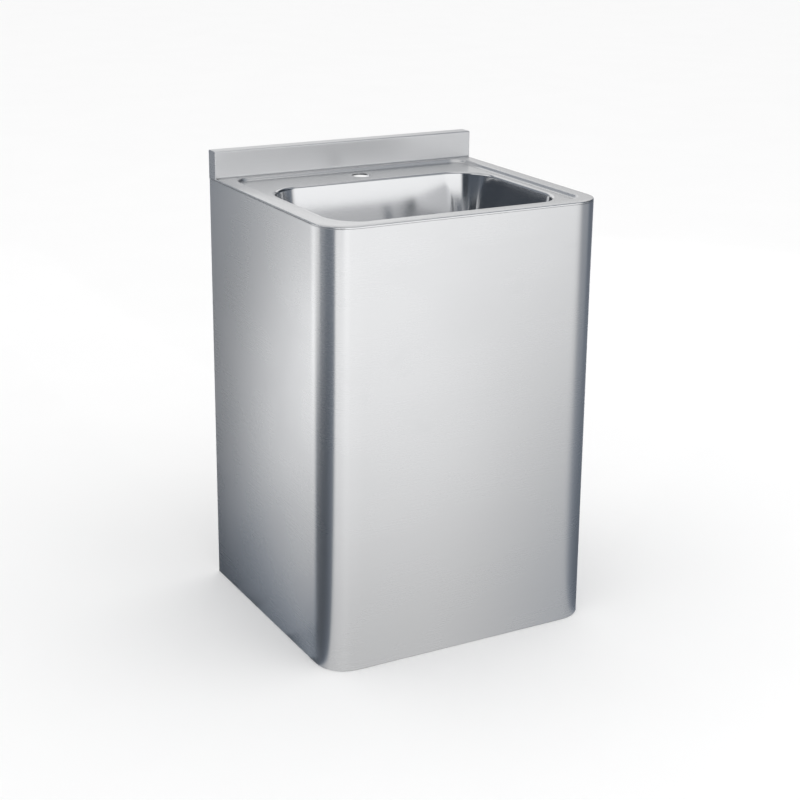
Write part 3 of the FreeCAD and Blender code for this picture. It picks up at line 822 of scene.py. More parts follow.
@dataclass
class Shroud:
    """Front and sides in one folded sheet, with floor, wall and rim flanges.

    Attributes:
        sizes: Shared sizes.
        floor_flange: Width of the flange on the floor.
        rim_flange: Width of the flange under the rim.
        wall_flange: Width of the flanges on the wall.
        lap_inset: How far the joggled edge stands in.
        floor_bend: Outer radius of the bend at the floor.
        shoulder_bend: Outer radius of the joggle's first bend.
        joggle_bend: Radius of its second bend.
        rim_bend: Outer radius of the bend into the rim flange.
        back_fold: Outer radius of the fold into the wall flange.
        fold_guard: Width of the guard cell beside that fold.
        fold_steps: Cells in that fold.
        hole_radius: Radius of the wall fixing holes.
        hole_edge: Distance of their centres from the outer face.
        hole_heights: Heights of their centres.
        hole_steps: Cells in half a hole.
        bend_ramp: Share of a corner bend over which its curvature rises.
        corner_steps: Cells in a corner bend.
        fine_steps: Steps of the bend's sums in each cell.
    """

    sizes: BasinSizes
    floor_flange: float = 20 * MM
    rim_flange: float = 20 * MM
    wall_flange: float = 30 * MM
    lap_inset: float = 1.8 * MM
    floor_bend: float = 2.5 * MM
    shoulder_bend: float = 1.0 * MM
    joggle_bend: float = 0.6 * MM
    rim_bend: float = 3.0 * MM
    back_fold: float = 2.5 * MM
    fold_guard: float = 0.8 * MM
    fold_steps: int = 8
    hole_radius: float = 5.5 * MM
    hole_edge: float = 16 * MM
    hole_heights: Span = (200 * MM, 620 * MM)
    hole_steps: int = 24
    bend_ramp: float = 0.25
    corner_steps: int = 40
    fine_steps: int = 16

    def bend(self) -> tuple[Array, Array]:
        """Quarter bend of a rolled sheet: its curvature rises evenly, holds and falls evenly.

        It is scaled so that its middle lies where a plain round of the corner's radius has its middle.

        Returns:
            Points by 2 along and across the way in, and the heading of each point in radians.
        """
        share = np.linspace(0, 1, self.fine_steps * self.corner_steps + 1)
        curvature = np.clip(np.minimum(share, 1 - share) / self.bend_ramp, 0, 1)
        heading = np.concatenate([[0.0], np.cumsum(curvature[1:] + curvature[:-1])])
        heading *= QUARTER / heading[-1]
        steps = np.stack([np.cos(heading), np.sin(heading)], axis=-1)
        spots = np.concatenate([[[0.0, 0.0]], np.cumsum(steps[1:] + steps[:-1], axis=0)])
        spots /= spots[-1, 0]
        middle = spots[len(spots) // 2]
        spots *= self.sizes.corner_radius * (math.sqrt(2) - 1) / math.hypot(1 - middle[0], middle[1])
        return spots[::self.fine_steps], heading[::self.fine_steps, None]

    def plan(self) -> tuple[Array, Array]:
        """Plan line round left side, front and right side: straight runs joined by rolled bends.

        Returns:
            Points by 2, and inward unit normals by 2.
        """
        x, y = self.sizes.half_width, self.sizes.half_depth
        back = y - self.back_fold
        corners = np.array([(-x, back), (-x, -y), (x, -y), (x, back)])
        share = eased(RUN_CELLS, RUN_GUARD)[:, None]
        spots, heading = self.bend()
        reach = spots[-1, 0]
        points, normals = [], []
        for k, way in enumerate(unit(np.diff(corners, axis=0))):
            inward = np.array([-way[1], way[0]])
            start, stop = corners[k] + (k > 0) * reach * way, corners[k + 1] - (k < 2) * reach * way
            points.append(start + share * (stop - start))
            normals.append(np.tile(inward, (len(share), 1)))
            if k < 2:
                points.append(stop + spots[1:-1] @ np.stack([way, inward]))
                normals.append(np.cos(heading[1:-1]) * inward - np.sin(heading[1:-1]) * way)
        return np.concatenate(points), np.concatenate(normals)

    def wall(self) -> list[Surface]:
        """Wall: the sheet's profile, from floor flange to rim flange, carried along the plan line.

        Returns:
            Surfaces that close the wall.
        """
        s = self.sizes
        profile = rounded_profile([
            (self.floor_flange, 0.0, 0.0),
            (0.0, 0.0, self.floor_bend),
            (0.0, s.shoulder, self.shoulder_bend),
            (self.lap_inset, s.shoulder, self.joggle_bend),
            (self.lap_inset, s.lap, self.rim_bend),
            (self.lap_inset + self.rim_flange, s.lap, 0.0),
        ], run_steps=4)
        line, inward = self.plan()
        points = raised(line + profile[:, :1, None] * inward, profile[:, 1])
        return Surface(points, chart(lengths_along(line), lengths_along(profile))).shell(s.sheet)

    def wall_fold(self, side: int) -> list[Surface]:
        """Wall flange: a band that follows the fold and the wall, split at the line through its two holes.

        Args:
            side: -1 for left, 1 for right.

        Returns:
            Surfaces that close the flange.
        """
        bend = self.back_fold * QUARTER
        end = bend + self.wall_flange - self.back_fold
        middle = bend + self.hole_edge - self.back_fold
        turn = np.linspace(-QUARTER, QUARTER, self.hole_steps + 1)
        rise, half = self.hole_radius * np.sin(turn), self.hole_radius * np.cos(turn)
        holes = len(self.hole_heights)
        heights = np.concatenate([[0.0], *(hole + rise for hole in self.hole_heights), [self.sizes.shoulder]])
        reach = np.concatenate([[0.0], np.tile(half, holes), [0.0]])
        near = np.concatenate([np.linspace(0, bend, self.fold_steps + 1), [bend + self.fold_guard]])
        near = np.broadcast_to(near, (len(heights), len(near)))
        left = np.concatenate([near, (middle - reach)[:, None]], axis=1)
        right = np.stack([middle + reach, np.full_like(reach, end)], axis=1)
        outer, inner = ([self.on_fold(along, heights, depth, side, bend) for along in (left, right)]
                        for depth in (0.0, self.sizes.sheet))
        sheets = [*outer, *(face.turned_over() for face in inner)]
        sheets += [strip(inner[0], outer[0], np.s_[:, 0]), strip(outer[1], inner[1], np.s_[:, -1])]
        sheets += [strip(first, second, 0) for first, second in zip(inner, outer)]
        sheets += [strip(first, second, -1) for first, second in zip(outer, inner)]
        for k in range(holes):
            rows = slice(1 + k * len(turn), 1 + (k + 1) * len(turn))
            sheets += [strip(outer[0], inner[0], (rows, -1)), strip(inner[1], outer[1], (rows, 0))]
        return sheets

    def on_fold(self, along: Array, heights: Array, depth: float, side: int, bend: float) -> Surface:
        """Places developed lengths on the fold: a quarter circle first, then straight along the wall.

        Args:
            along: Developed lengths, rows by columns.
            heights: Height of each row.
            depth: Depth below the outer face.
            side: -1 for left, 1 for right.
            bend: Developed length of the quarter circle.

        Returns:
            The surface.
        """
        s, r = self.sizes, self.back_fold
        angle = np.minimum(along, bend) / r
        past = np.maximum(along - bend, 0.0)
        x = s.half_width - r + (r - depth) * np.cos(angle) - past
        y = s.half_depth - r + (r - depth) * np.sin(angle)
        z = np.broadcast_to(heights[:, None], along.shape)
        return Surface(np.stack([side * x, y, z], axis=-1), np.stack([along, z], axis=-1))

    def build(self, shop: Workshop) -> None:
        """Makes the shroud."""
        surfaces = self.wall() + self.wall_fold(-1) + [face.turned_over() for face in self.wall_fold(1)]
        shop.piece("shroud_sheet", surfaces, SATIN, ["shroud"])


@dataclass
class Top:
    """Pressed top: soft rim with a turned-down edge, recessed deck, bowl opening and tap hole.

    Attributes:
        sizes: Shared sizes.
        recess: Half width, front, back and corner radius of the recess.
        opening: Half width, front, back and corner radius of the bowl opening.
        floor_radius: Radius where the recess wall meets the deck.
        edge_radius: Radius where the recess wall meets the rim.
        wall_slope: Steepest slope of the recess wall in degrees.
        rim_radius: Radius of the rim's outer edge.
        back_radius: Radius of the rim's back corners.
        crown: How far the rim falls towards its outer edge.
        crown_share: Share of the rim's width over which it falls.
        tap: Centre and radius of the tap hole.
        tap_share: Half the share of the back run that the patch round the tap hole takes.
        run_shares: Further places along half a straight run.
        patch_shares: Places from the patch's edge to the hole.
        guards: Widths of the guard cells on the deck, on the rim and on the skirt.
        deck_rows: Cells from the bowl to the recess wall.
        rim_rows: Cells across the rim.
        tap_columns: Cells along the patch.
        bend_steps: Cells in a round.
        corner_steps: Cells in a corner.
    """

    sizes: BasinSizes
    recess: Outline = (242.5 * MM, -220 * MM, 202 * MM, 28 * MM)
    opening: Outline = MOUTH
    floor_radius: float = 5 * MM
    edge_radius: float = 4 * MM
    wall_slope: float = 52.0
    rim_radius: float = 2 * MM
    back_radius: float = 0.6 * MM
    crown: float = 1.2 * MM
    crown_share: float = 0.65
    tap: Span = (162 * MM, 17.5 * MM)
    tap_share: float = 0.0813
    run_shares: tuple[float, ...] = (0.012, 0.15, 0.28)
    patch_shares: tuple[float, ...] = (0.0, 0.4, 0.8, 0.97, 1.0)
    guards: tuple[float, float, float] = (1 * MM, 0.5 * MM, 0.2 * MM)
    deck_rows: int = 12
    rim_rows: int = 18
    tap_columns: int = 12
    bend_steps: int = 8
    corner_steps: int = 20

    def grown(self, grow: Array) -> Array:
        """Recess outlines grown all round, stations by 5."""
        side, front, back, radius = self.recess
        return np.stack([side + grow, front - grow, back + grow, radius + grow, radius + grow], axis=-1)

    def drawn_in(self, depth: Array) -> Array:
        """Outer outlines drawn in, stations by 5."""
        s = self.sizes
        return np.stack([s.half_width - depth, depth - s.half_depth, s.half_depth - depth,
                         s.corner_radius - depth, np.full_like(depth, self.back_radius)], axis=-1)

    def stations(self) -> tuple[Ring, Array]:
        """Outlines from the bowl opening out to the turned-down edge, with their heights.

        The deck is flat, the recess wall is a hollow and a round joined by a straight slope, the rim falls by
        the cube of the way to its outer edge, and that edge is a round that ends in a short upright skirt.

        Returns:
            The outlines and the height of each.
        """
        s = self.sizes
        deck_guard, rim_guard, skirt_guard = self.guards
        lean = math.radians(self.wall_slope)
        turn = np.linspace(0, lean, self.bend_steps + 1)
        rounds = self.floor_radius + self.edge_radius
        run = (s.rim - s.deck - rounds * (1 - math.cos(lean))) / math.tan(lean)
        half = (rounds * math.sin(lean) + run) / 2
        foot, guard = self.grown(np.array([-half - deck_guard, half + rim_guard]))
        deck = between((*self.opening, self.opening[-1]), foot, np.linspace(0, 1, self.deck_rows + 1))
        hollow = self.grown(self.floor_radius * np.sin(turn) - half)
        brow = self.grown(half - self.edge_radius * np.sin(turn[::-1]))
        share = np.linspace(0, 1, self.rim_rows + 1)
        fall = self.crown * np.clip(1 - (1 - share) / self.crown_share, 0, 1) ** 3
        width = s.half_width - self.rim_radius - self.recess[0] - half
        start = math.atan(3 * self.crown / (self.crown_share * width))
        bend = np.linspace(start, QUARTER, self.bend_steps + 1)
        edge = self.drawn_in(self.rim_radius * (1 - np.sin(bend)))
        rim = between(guard, edge[0], share)[:-1]
        drop = self.crown + self.rim_radius * (math.cos(start) - np.cos(bend))
        rows = np.concatenate([deck, hollow, brow, rim, edge, self.drawn_in(np.zeros(2))])
        heights = np.concatenate([
            np.full(len(deck), s.deck),
            s.deck + self.floor_radius * (1 - np.cos(turn)),
            s.rim - self.edge_radius * (1 - np.cos(turn[::-1])),
            s.rim - fall[:-1],
            s.rim - drop,
            np.array([s.rim - drop[-1] - skirt_guard, s.skirt]),
        ])
        return Ring(*rows.T), heights

    def build(self, shop: Workshop) -> None:
        """Makes the top: the sheet with cells left out of the deck, and a patch with a round hole there.

        Args:
            shop: Workshop that makes the pieces.
        """
        ring, heights = self.stations()
        near, rows = np.array(self.run_shares), self.deck_rows
        tap_shares = np.linspace(0.5 - self.tap_share, 0.5 + self.tap_share, self.tap_columns + 1)
        shares = np.concatenate([near, tap_shares, 1 - near[::-1]])
        points = raised(ring.points(shares, self.corner_steps), heights)
        first = 2 * (self.corner_steps + 1) + len(shares) + len(near)
        last = first + self.tap_columns
        keep = np.ones((points.shape[0] - 1, points.shape[1] - 1), bool)
        keep[:rows, first:last] = False
        skin = Surface(points, side_to_side(points), keep)
        loop = np.concatenate([
            points[0, first:last], points[:rows, last],
            points[rows, first + 1:last + 1][::-1], points[1:rows + 1, first][::-1],
        ])
        patch = self.tap_patch(np.concatenate([loop, loop[:1]]))
        under = patch.moved(-self.sizes.sheet)
        surfaces = skin.shell(-self.sizes.sheet) + [patch, under.turned_over(), strip(patch, under, -1)]
        shop.piece("top_pressing", surfaces, DECK, ["basin_top"])

    def tap_patch(self, loop: Array) -> Surface:
        """Flat patch between a loop and the tap hole: straight lines from the loop to the circle.

        Args:
            loop: Closed loop of points round the hole.

        Returns:
            The patch, with its last row on the hole.
        """
        y, radius = self.tap
        centre = np.array([0.0, y, self.sizes.deck])
        share = np.array(self.patch_shares)[:, None, None]
        points = loop + share * (centre + radius * unit(loop - centre) - loop)
        return Surface(points, side_to_side(points))


@dataclass
class Bowl:
    """Pressed and polished bowl: rolled lip, leaning walls, round floor edge, dished floor and waste seat.

    Attributes:
        sizes: Shared sizes.
        mouth: Half width, front, back and corner radius at the deck.
        depth: Depth of the flat floor below the deck.
        floor: Height of the flat floor.
        lip: Radius of the rolled lip.
        foot_corner: Radius of the upright corners where the walls would meet the floor.
        floor_radius: Radius between wall and floor.
        draft: Lean of the walls in degrees.
        ledge: Flat strip beside the wall's foot and round the dish.
        dish_radius: Radius where the dish starts.
        dish_round: Radius of the bend there.
        dish_fall: Fall of the dish.
        seat_radius: Radius of the waste seat.
        seat_depth: Depth of the seat below the dish.
        seat_rounds: Radii of the seat's upper and lower edge.
        hole_radius: Radius of the waste hole.
        run_guard: Share of a straight run that each guard takes.
        run_steps: Cells in a straight run.
        corner_steps: Cells in a corner.
        bridge_steps: Cells between the wall's foot and the dish.
    """

    sizes: BasinSizes
    mouth: Outline = MOUTH
    depth: float = 150 * MM
    floor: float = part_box("bowl")[1].z - depth
    lip: float = 6 * MM
    foot_corner: float = 31 * MM
    floor_radius: float = 25 * MM
    draft: float = 11.0
    ledge: float = 4 * MM
    dish_radius: float = 76 * MM
    dish_round: float = 90 * MM
    dish_fall: float = 4 * MM
    seat_radius: float = 31.3 * MM
    seat_depth: float = 4.5 * MM
    seat_rounds: Span = (0.8 * MM, 0.6 * MM)
    hole_radius: float = 21.2 * MM
    run_guard: float = 0.012
    run_steps: int = 8
    corner_steps: int = 28
    bridge_steps: int = 5

    def wall(self) -> Array:
        """Rounded rectangles down the wall's profile, with corners that tighten evenly towards the floor.

        Returns:
            Rows of points, from the lip to the floor.
        """
        side, front, back, radius = self.mouth
        draft = math.radians(self.draft)
        lean = (self.sizes.deck - self.floor) * math.tan(draft)
        foot = self.lip + lean
        reach = self.floor_radius * math.tan((QUARTER - draft) / 2)
        profile = rounded_profile([
            (0.0, self.sizes.deck, 0.0),
            (self.lip, self.sizes.deck, self.lip),
            (foot, self.floor, self.floor_radius),
            (foot + reach + self.ledge, self.floor, 0.0),
        ], arc_steps=24, run_steps=10)
        inset, height = profile.T
        start = foot - reach * math.sin(draft)
        narrowing = (radius - self.lip - self.foot_corner) / lean
        on_wall = np.clip(inset - self.lip, 0.0, start - self.lip)
        corner = radius - np.minimum(inset, self.lip) - narrowing * on_wall - np.maximum(inset - start, 0.0)
        ring = Ring(side - inset, front + inset, back - inset, corner, corner)
        return raised(ring.points(eased(self.run_steps, self.run_guard)[1:-1], self.corner_steps), height)

    def seat(self, edge: Array) -> Array:
        """Circles down the dish's profile, with a point in the direction of each point of an edge.

        Args:
            edge: Points round the dish.

        Returns:
            Rows of points, from the floor to the waste hole.
        """
        centre = np.array([0.0, (self.mouth[1] + self.mouth[2]) / 2])
        low = self.floor - self.dish_fall - self.seat_depth
        profile = rounded_profile([
            (self.dish_radius + self.ledge, self.floor, 0.0),
            (self.dish_radius, self.floor, self.dish_round),
            (self.seat_radius, self.floor - self.dish_fall, self.seat_rounds[0]),
            (self.seat_radius, low, self.seat_rounds[1]),
            (self.hole_radius, low, 0.0),
        ], run_steps=3)
        return raised(centre + profile[:, :1, None] * unit(edge[:, :2] - centre), profile[:, 1])

    def build(self, shop: Workshop) -> None:
        """Makes the bowl: the wall, an even bridge over the flat floor, and the dish with the waste seat.

        Args:
            shop: Workshop that makes the pieces.
        """
        wall = self.wall()
        seat = self.seat(wall[-1])
        share = np.linspace(0, 1, self.bridge_steps + 1)[1:-1, None, None]
        points = np.concatenate([wall, wall[-1] + share * (seat[0] - wall[-1]), seat])
        around = lengths_along(wall[0])
        column = len(around) // 8
        down = lengths_along(points[:, column])
        sheet = Surface(points, chart(around, down)).shell(self.sizes.sheet)
        shop.piece("bowl_pressing", sheet, MIRROR, ["bowl"], backing=MILL)


@dataclass
class Splashback:
    """Folded channel along the wall with ground end plates and a dressed weld along its foot.

    Attributes:
        sizes: Shared sizes.
        height: Height of its top.
        foot_gap: Height of its foot above the top's lower edge.
        fold: Outer radius of its folds.
        weld: Radius of the weld.
        weld_inset: Distance of the weld's ends from the sides.
        weld_guard: Share of the weld's length that each guard takes.
        weld_steps: Cells in the weld's hollow.
        ground: Radius of the ground edges of the end plates.
        ground_guard: Width of the guard cell beside those edges.
        ground_steps: Cells in those edges.
    """

    sizes: BasinSizes
    height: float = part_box("splashback")[1].z
    foot_gap: float = 0.6 * MM
    fold: float = 3 * MM
    weld: float = 3 * MM
    weld_inset: float = 2.5 * MM
    weld_guard: float = 0.01
    weld_steps: int = 12
    ground: float = 0.8 * MM
    ground_guard: float = 0.4 * MM
    ground_steps: int = 6

    def build(self, shop: Workshop) -> None:
        """Makes the channel and its end plates: profiles carried from side to side.

        Args:
            shop: Workshop that makes the pieces.
        """
        s = self.sizes
        foot = s.skirt + self.foot_gap
        folded = rounded_profile([
            (s.half_depth, foot, 0.0),
            (s.half_depth, self.height, self.fold),
            (s.splash_front, self.height, self.fold),
            (s.splash_front, foot, 0.0),
        ], arc_steps=12, run_steps=3)
        surfaces = self.carried(folded, s.half_width - s.sheet, RUN_GUARD).shell(-s.sheet)
        hollow = np.linspace(0, QUARTER, self.weld_steps + 1)
        toe = np.stack([s.splash_front - self.weld * (1 - np.sin(hollow)),
                        s.rim + self.weld * (1 - np.cos(hollow))], axis=-1)
        root = s.splash_front + s.sheet / 2
        heel = np.array([[root, s.rim + self.weld], [root, s.rim]])
        surfaces += self.closed_bar(np.concatenate([toe, heel, toe[:1]]), s.half_width - self.weld_inset)
        shop.piece("splashback_channel", surfaces, SATIN_BACK, ["splashback"])
        for side, name in ((-1, "left"), (1, "right")):
            plate = self.end_plate(np.concatenate([folded, folded[:1]]), side)
            shop.piece(f"splashback_plate_{name}", [plate], SATIN, [f"splashback_end_{name}"])

    def end_plate(self, loop: Array, side: int) -> Surface:
        """Plate over one end of the channel, its outer edge ground round.

        Rows go from the middle of the inner face over the edge to the middle of the outer face; each row is
        the channel's outline drawn towards the plate's middle.

        Args:
            loop: Closed outline (y, z) of the channel.
            side: -1 for left, 1 for right.

        Returns:
            The plate's closed surface.
        """
        s = self.sizes
        middle = (loop.min(axis=0) + loop.max(axis=0)) / 2
        reach = (loop.max(axis=0) - loop.min(axis=0)) / 2
        bend = np.linspace(0, QUARTER, self.ground_steps + 1)
        inset = np.concatenate([[0.0], self.ground * (1 - np.cos(bend)), [self.ground + self.ground_guard]])
        out = np.concatenate([[-s.sheet], self.ground * (np.sin(bend) - 1), [0.0]])
        drawn = middle + (1 - inset[:, None, None] / reach) * (loop - middle)
        centre = np.broadcast_to(middle, drawn[:1].shape)
        flat = np.concatenate([centre, drawn, centre])
        x = side * (s.half_width + np.concatenate([out[:1], out, out[-1:]]))
        points = np.roll(raised(flat, x), 1, axis=-1)
        return Surface(points, np.stack([flat[..., 0] + x[:, None], flat[..., 1]], axis=-1))

    def carried(self, profile: Array, reach: float, guard: float) -> Surface:
        """A profile (y, z) carried from side to side.

        Args:
            profile: Points by 2.
            reach: Half the length.
            guard: Share of the length that each guard takes.

        Returns:
            The surface.
        """
        x = reach * (2 * eased(RUN_CELLS, guard) - 1)
        y, z = profile.T[:, :, None]
        points = np.stack(np.broadcast_arrays(x, y, z), axis=-1)
        return Surface(points, chart(x, lengths_along(profile)))

    def closed_bar(self, loop: Array, reach: float) -> list[Surface]:
        """A closed loop (y, z) carried from side to side, with a fan over each end.

        Args:
            loop: Points by 2, the last one equal to the first.
            reach: Half the length.

        Returns:
            Surfaces that close the bar.
        """
        bar = self.carried(loop, reach, self.weld_guard)
        ends = []
        for column in (0, -1):
            rim, uv = bar.points[:, column], bar.uv[:, column]
            middle = np.broadcast_to(rim[:-1].mean(axis=0), rim.shape)
            ends.append(Surface(np.stack([rim, middle]), np.stack([uv, uv])))
        return [bar, ends[0].turned_over(), ends[1]]


@dataclass(frozen=True)
class Turning:
    """A profile turned about an axis, with flutes or flats where it is gripped.

    Attributes:
        node: CAD node that the piece stands for.
        corners: Points (radius, along the axis, rounding) of the profile.
        finish: Finish of the piece.
        body: Body that it rides on.
        axis: Axis that it goes round.
        grip: Outer form.
        flutes: Number of flutes.
        flute: Radius of a flute.
        chamfer: Rise of the radius from each end of a hexagon, per length.
        pitch: Pitch of the thread on its longest side, or 0 for none.
        groove: Slope of the sides of the thread's grooves.
        closed: True where the profile is a ring, False where it starts and ends on the axis.
        columns: Cells round the axis.
    """

    node: str
    corners: tuple[Corner, ...]
    finish: Finish
    body: Body = Body.BASIN
    axis: Axis = Axis.UPRIGHT
    grip: Grip = Grip.PLAIN
    flutes: int = 10
    flute: float = 2.5 * MM
    chamfer: float = 1.7
    pitch: float = 0.0
    groove: float = 0.6
    closed: bool = True
    columns: int = 240

    def profile(self) -> Array:
        """Points of the profile; a ring starts and ends in the middle of its last side.

        Returns:
            Points by 2, with grooves where the piece has a thread.
        """
        ends = np.array([self.corners[0], self.corners[-1]])
        middle = [(*ends.mean(axis=0)[:2], 0.0)] if self.closed else []
        line = rounded_profile([*middle, *self.corners, *middle], arc_steps=6)
        return self.threaded(line) if self.pitch > 0 else line

    def threaded(self, line: Array) -> Array:
        """Cuts V-grooves into the longest side: over each pitch the radius rises and falls evenly.

        Args:
            line: Points of the profile.

        Returns:
            The profile with the grooves.
        """
        sides = np.diff(line, axis=0)
        longest = int(np.linalg.norm(sides, axis=1).argmax())
        turns = int(np.linalg.norm(sides[longest]) / self.pitch)
        share = np.linspace(0, 1, 4 * turns + 1)[1:-1]
        grooves = line[longest] + share[:, None] * sides[longest]
        grooves[:, 0] -= self.groove * self.pitch * np.abs((share * turns) % 1 - 0.5)
        return np.concatenate([line[:longest + 1], grooves, line[longest + 1:]])

    def bound(self, angle: Array, along: Array) -> Array:
        """Largest radius: flutes are round grooves in the outer face, and flats are chamfered at both ends.

        Args:
            angle: Angles round the axis, one per column.
            along: Places along the axis, rows by 1.

        Returns:
            Radius, one per column or rows by columns.
        """
        outer = max(corner[0] for corner in self.corners)
        if self.grip is Grip.FLUTED:
            step = 2 * math.pi / self.flutes
            off = ((angle / step + 0.5) % 1 - 0.5) * step * outer
            cut = np.sqrt(np.maximum(self.flute ** 2 - off ** 2, 0.0)) - self.flute / 2
            return outer - np.maximum(cut, 0.0)
        if self.grip is Grip.HEXAGON:
            flat = outer * math.cos(math.pi / 6)
            room = np.minimum(along - along.min(), along.max() - along)
            return np.minimum(flat / np.cos(angle % (math.pi / 3) - math.pi / 6), flat + self.chamfer * room)
        return np.full_like(angle, outer)

    def surface(self) -> Surface:
        """Circles about the axis through each point of the profile, cut back to the bound.

        Returns:
            The closed surface.
        """
        line = self.profile()
        angle = np.linspace(0, 2 * math.pi, self.columns + 1)
        radius = np.minimum(line[:, :1], self.bound(angle, line[:, 1:]))
        centre = (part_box(self.node)[0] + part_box(self.node)[1]) / 2
        across, rise = radius * np.cos(angle), radius * np.sin(angle)
        along = np.broadcast_to(line[:, 1:], radius.shape)
        upright = self.axis is Axis.UPRIGHT
        spots = [across, centre.y + rise, along] if upright else [across, along, centre.z + rise]
        return Surface(np.stack(spots, axis=-1), chart(angle * line[:, 0].max(), lengths_along(line)))

    def build(self, shop: Workshop) -> None:
        """Makes the piece."""
        shop.piece(f"{self.node}_turned", [self.surface()], self.finish, [self.node], self.body)


@dataclass
class Fittings:
    """Waste and bottle trap: turned pieces on the drain's axis and on the outlet's axis.

    Attributes:
        stem: Radius of the threaded stem and bosses.
        thread_pitch: Pitch of the stem's thread.
        play: Gap between parts that fit together.
        tube: Outer radius of the tubes.
        bore: Inner radius of the tubes.
        nut_radius: Outer radius of the coupling nuts.
        ring_radius: Outer radius of the cup's ring nut.
        cup: Outer radius of the cup.
        cup_wall: Thickness of the cup.
        cup_round: Outer radius of the cup's lower edge.
        cup_flange: Radius of the cup's flange.
        web: Thickness of the coupling nuts' webs.
        ring_web: Thickness of the ring nut's web.
        collar: Thickness of the dip tube's collar.
        cup_lip: Thickness of the cup's flange.
        waste_bore: Inner radius of the waste.
        waste_seat: Radius of the strainer's seat.
        seat_depth: Depth of that seat.
        waste_flange: Thickness of the waste's flange.
        bead: Height of the bead on the outlet pipe.
        bead_start: Distance of the bead from the pipe's end.
        bead_width: Width of the bead.
        soft: Rounding of moulded edges.
        crisp: Rounding of small edges.
        tube_columns: Cells round a plain tube.
    """

    stem: float = 20.9 * MM
    thread_pitch: float = 2 * MM
    play: float = 0.3 * MM
    tube: float = 16 * MM
    bore: float = 14.5 * MM
    nut_radius: float = 26.7 * MM
    ring_radius: float = 38.3 * MM
    cup: float = 28.5 * MM
    cup_wall: float = 2 * MM
    cup_round: float = 12 * MM
    cup_flange: float = 32 * MM
    web: float = 3 * MM
    ring_web: float = 4 * MM
    collar: float = 2 * MM
    cup_lip: float = 3 * MM
    waste_bore: float = 17 * MM
    waste_seat: float = 25.3 * MM
    seat_depth: float = 1.5 * MM
    waste_flange: float = 3.5 * MM
    bead: float = 1.5 * MM
    bead_start: float = 64 * MM
    bead_width: float = 4 * MM
    soft: float = 1.2 * MM
    crisp: float = 0.4 * MM
    tube_columns: int = 96

    def edged(self, *spots: tuple[float, ...]) -> tuple[Corner, ...]:
        """Corners of a profile, with the rounding of small edges where a spot gives none."""
        return tuple((*spot, self.crisp)[:3] for spot in spots)

    def nut(self, node: str, outer: float, thread: float, hole: float, web: float, shut_above: bool,
            **options: object) -> Turning:
        """A fluted nut: a threaded sleeve with a web at one end.

        Args:
            node: CAD node.
            outer: Outer radius.
            thread: Inner radius of the sleeve.
            hole: Radius of the hole in the web.
            web: Thickness of the web.
            shut_above: True where the web is at the higher end.
            **options: Further fields of the turned piece.

        Returns:
            The turned piece.
        """
        axis = options.get("axis", Axis.UPRIGHT)
        low, high = (getattr(corner, axis.value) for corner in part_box(node))
        shut, free, inner = (high, low, high - web) if shut_above else (low, high, low + web)
        corners = self.edged((hole, inner), (hole, shut), (outer, shut, self.soft), (outer, free, self.soft),
                             (thread, free), (thread, inner))
        return Turning(node, corners, PLASTIC, grip=Grip.FLUTED, **options)

    def waste(self) -> list[Turning]:
        """Waste body with its threaded stem and rolled flange, and the backnut.

        Returns:
            Both turned pieces.
        """
        low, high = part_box("waste_body")
        rim, under, seat = high.z, high.z - self.waste_flange, high.z - self.seat_depth
        body = self.edged((self.waste_bore, low.z), (self.stem, low.z), (self.stem, under), (high.x, under),
                          (high.x, rim, self.soft), (self.waste_seat, rim), (self.waste_seat, seat),
                          (self.waste_bore, seat))
        low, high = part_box("waste_backnut")
        hold = self.stem + self.play
        nut = self.edged((hold, low.z), (high.x, low.z), (high.x, high.z), (hold, high.z))
        return [Turning("waste_body", body, BRIGHT, pitch=self.thread_pitch, columns=self.tube_columns),
                Turning("waste_backnut", nut, BRIGHT, grip=Grip.HEXAGON)]

    def tubes(self) -> list[Turning]:
        """Dip tube with its collar, and the outlet pipe with its bead.

        Returns:
            Both turned pieces.
        """
        low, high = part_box("inlet_tube")
        under = high.z - self.collar
        inlet = self.edged((self.bore, low.z), (self.tube, low.z), (self.tube, under), (self.stem, under),
                           (self.stem, high.z), (self.bore, high.z))
        low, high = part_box("outlet_pipe")
        bead, start = self.tube + self.bead, high.y - self.bead_start
        stop = start + self.bead_width
        outlet = self.edged((self.bore, low.y), (self.tube, low.y), (self.tube, start),
                            (bead, start, self.soft), (bead, stop, self.soft), (self.tube, stop),
                            (self.tube, high.y), (self.bore, high.y))
        return [Turning("inlet_tube", inlet, PLASTIC, columns=self.tube_columns),
                Turning("outlet_pipe", outlet, PLASTIC, axis=Axis.LEVEL, columns=self.tube_columns)]

    def bottle(self) -> Turning:
        """Cleaning cup: a round-bottomed beaker with a flange.

        Returns:
            The turned piece.
        """
        low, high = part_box("trap_cup")
        inner, under, floor = self.cup - self.cup_wall, high.z - self.cup_lip, low.z + self.cup_wall
        corners = self.edged((0.0, low.z, 0.0), (self.cup, low.z, self.cup_round), (self.cup, under),
                             (self.cup_flange, under), (self.cup_flange, high.z), (inner, high.z),
                             (inner, floor, self.cup_round - self.cup_wall), (0.0, floor, 0.0))
        return Turning("trap_cup", corners, PLASTIC, Body.CUP, closed=False, columns=120)

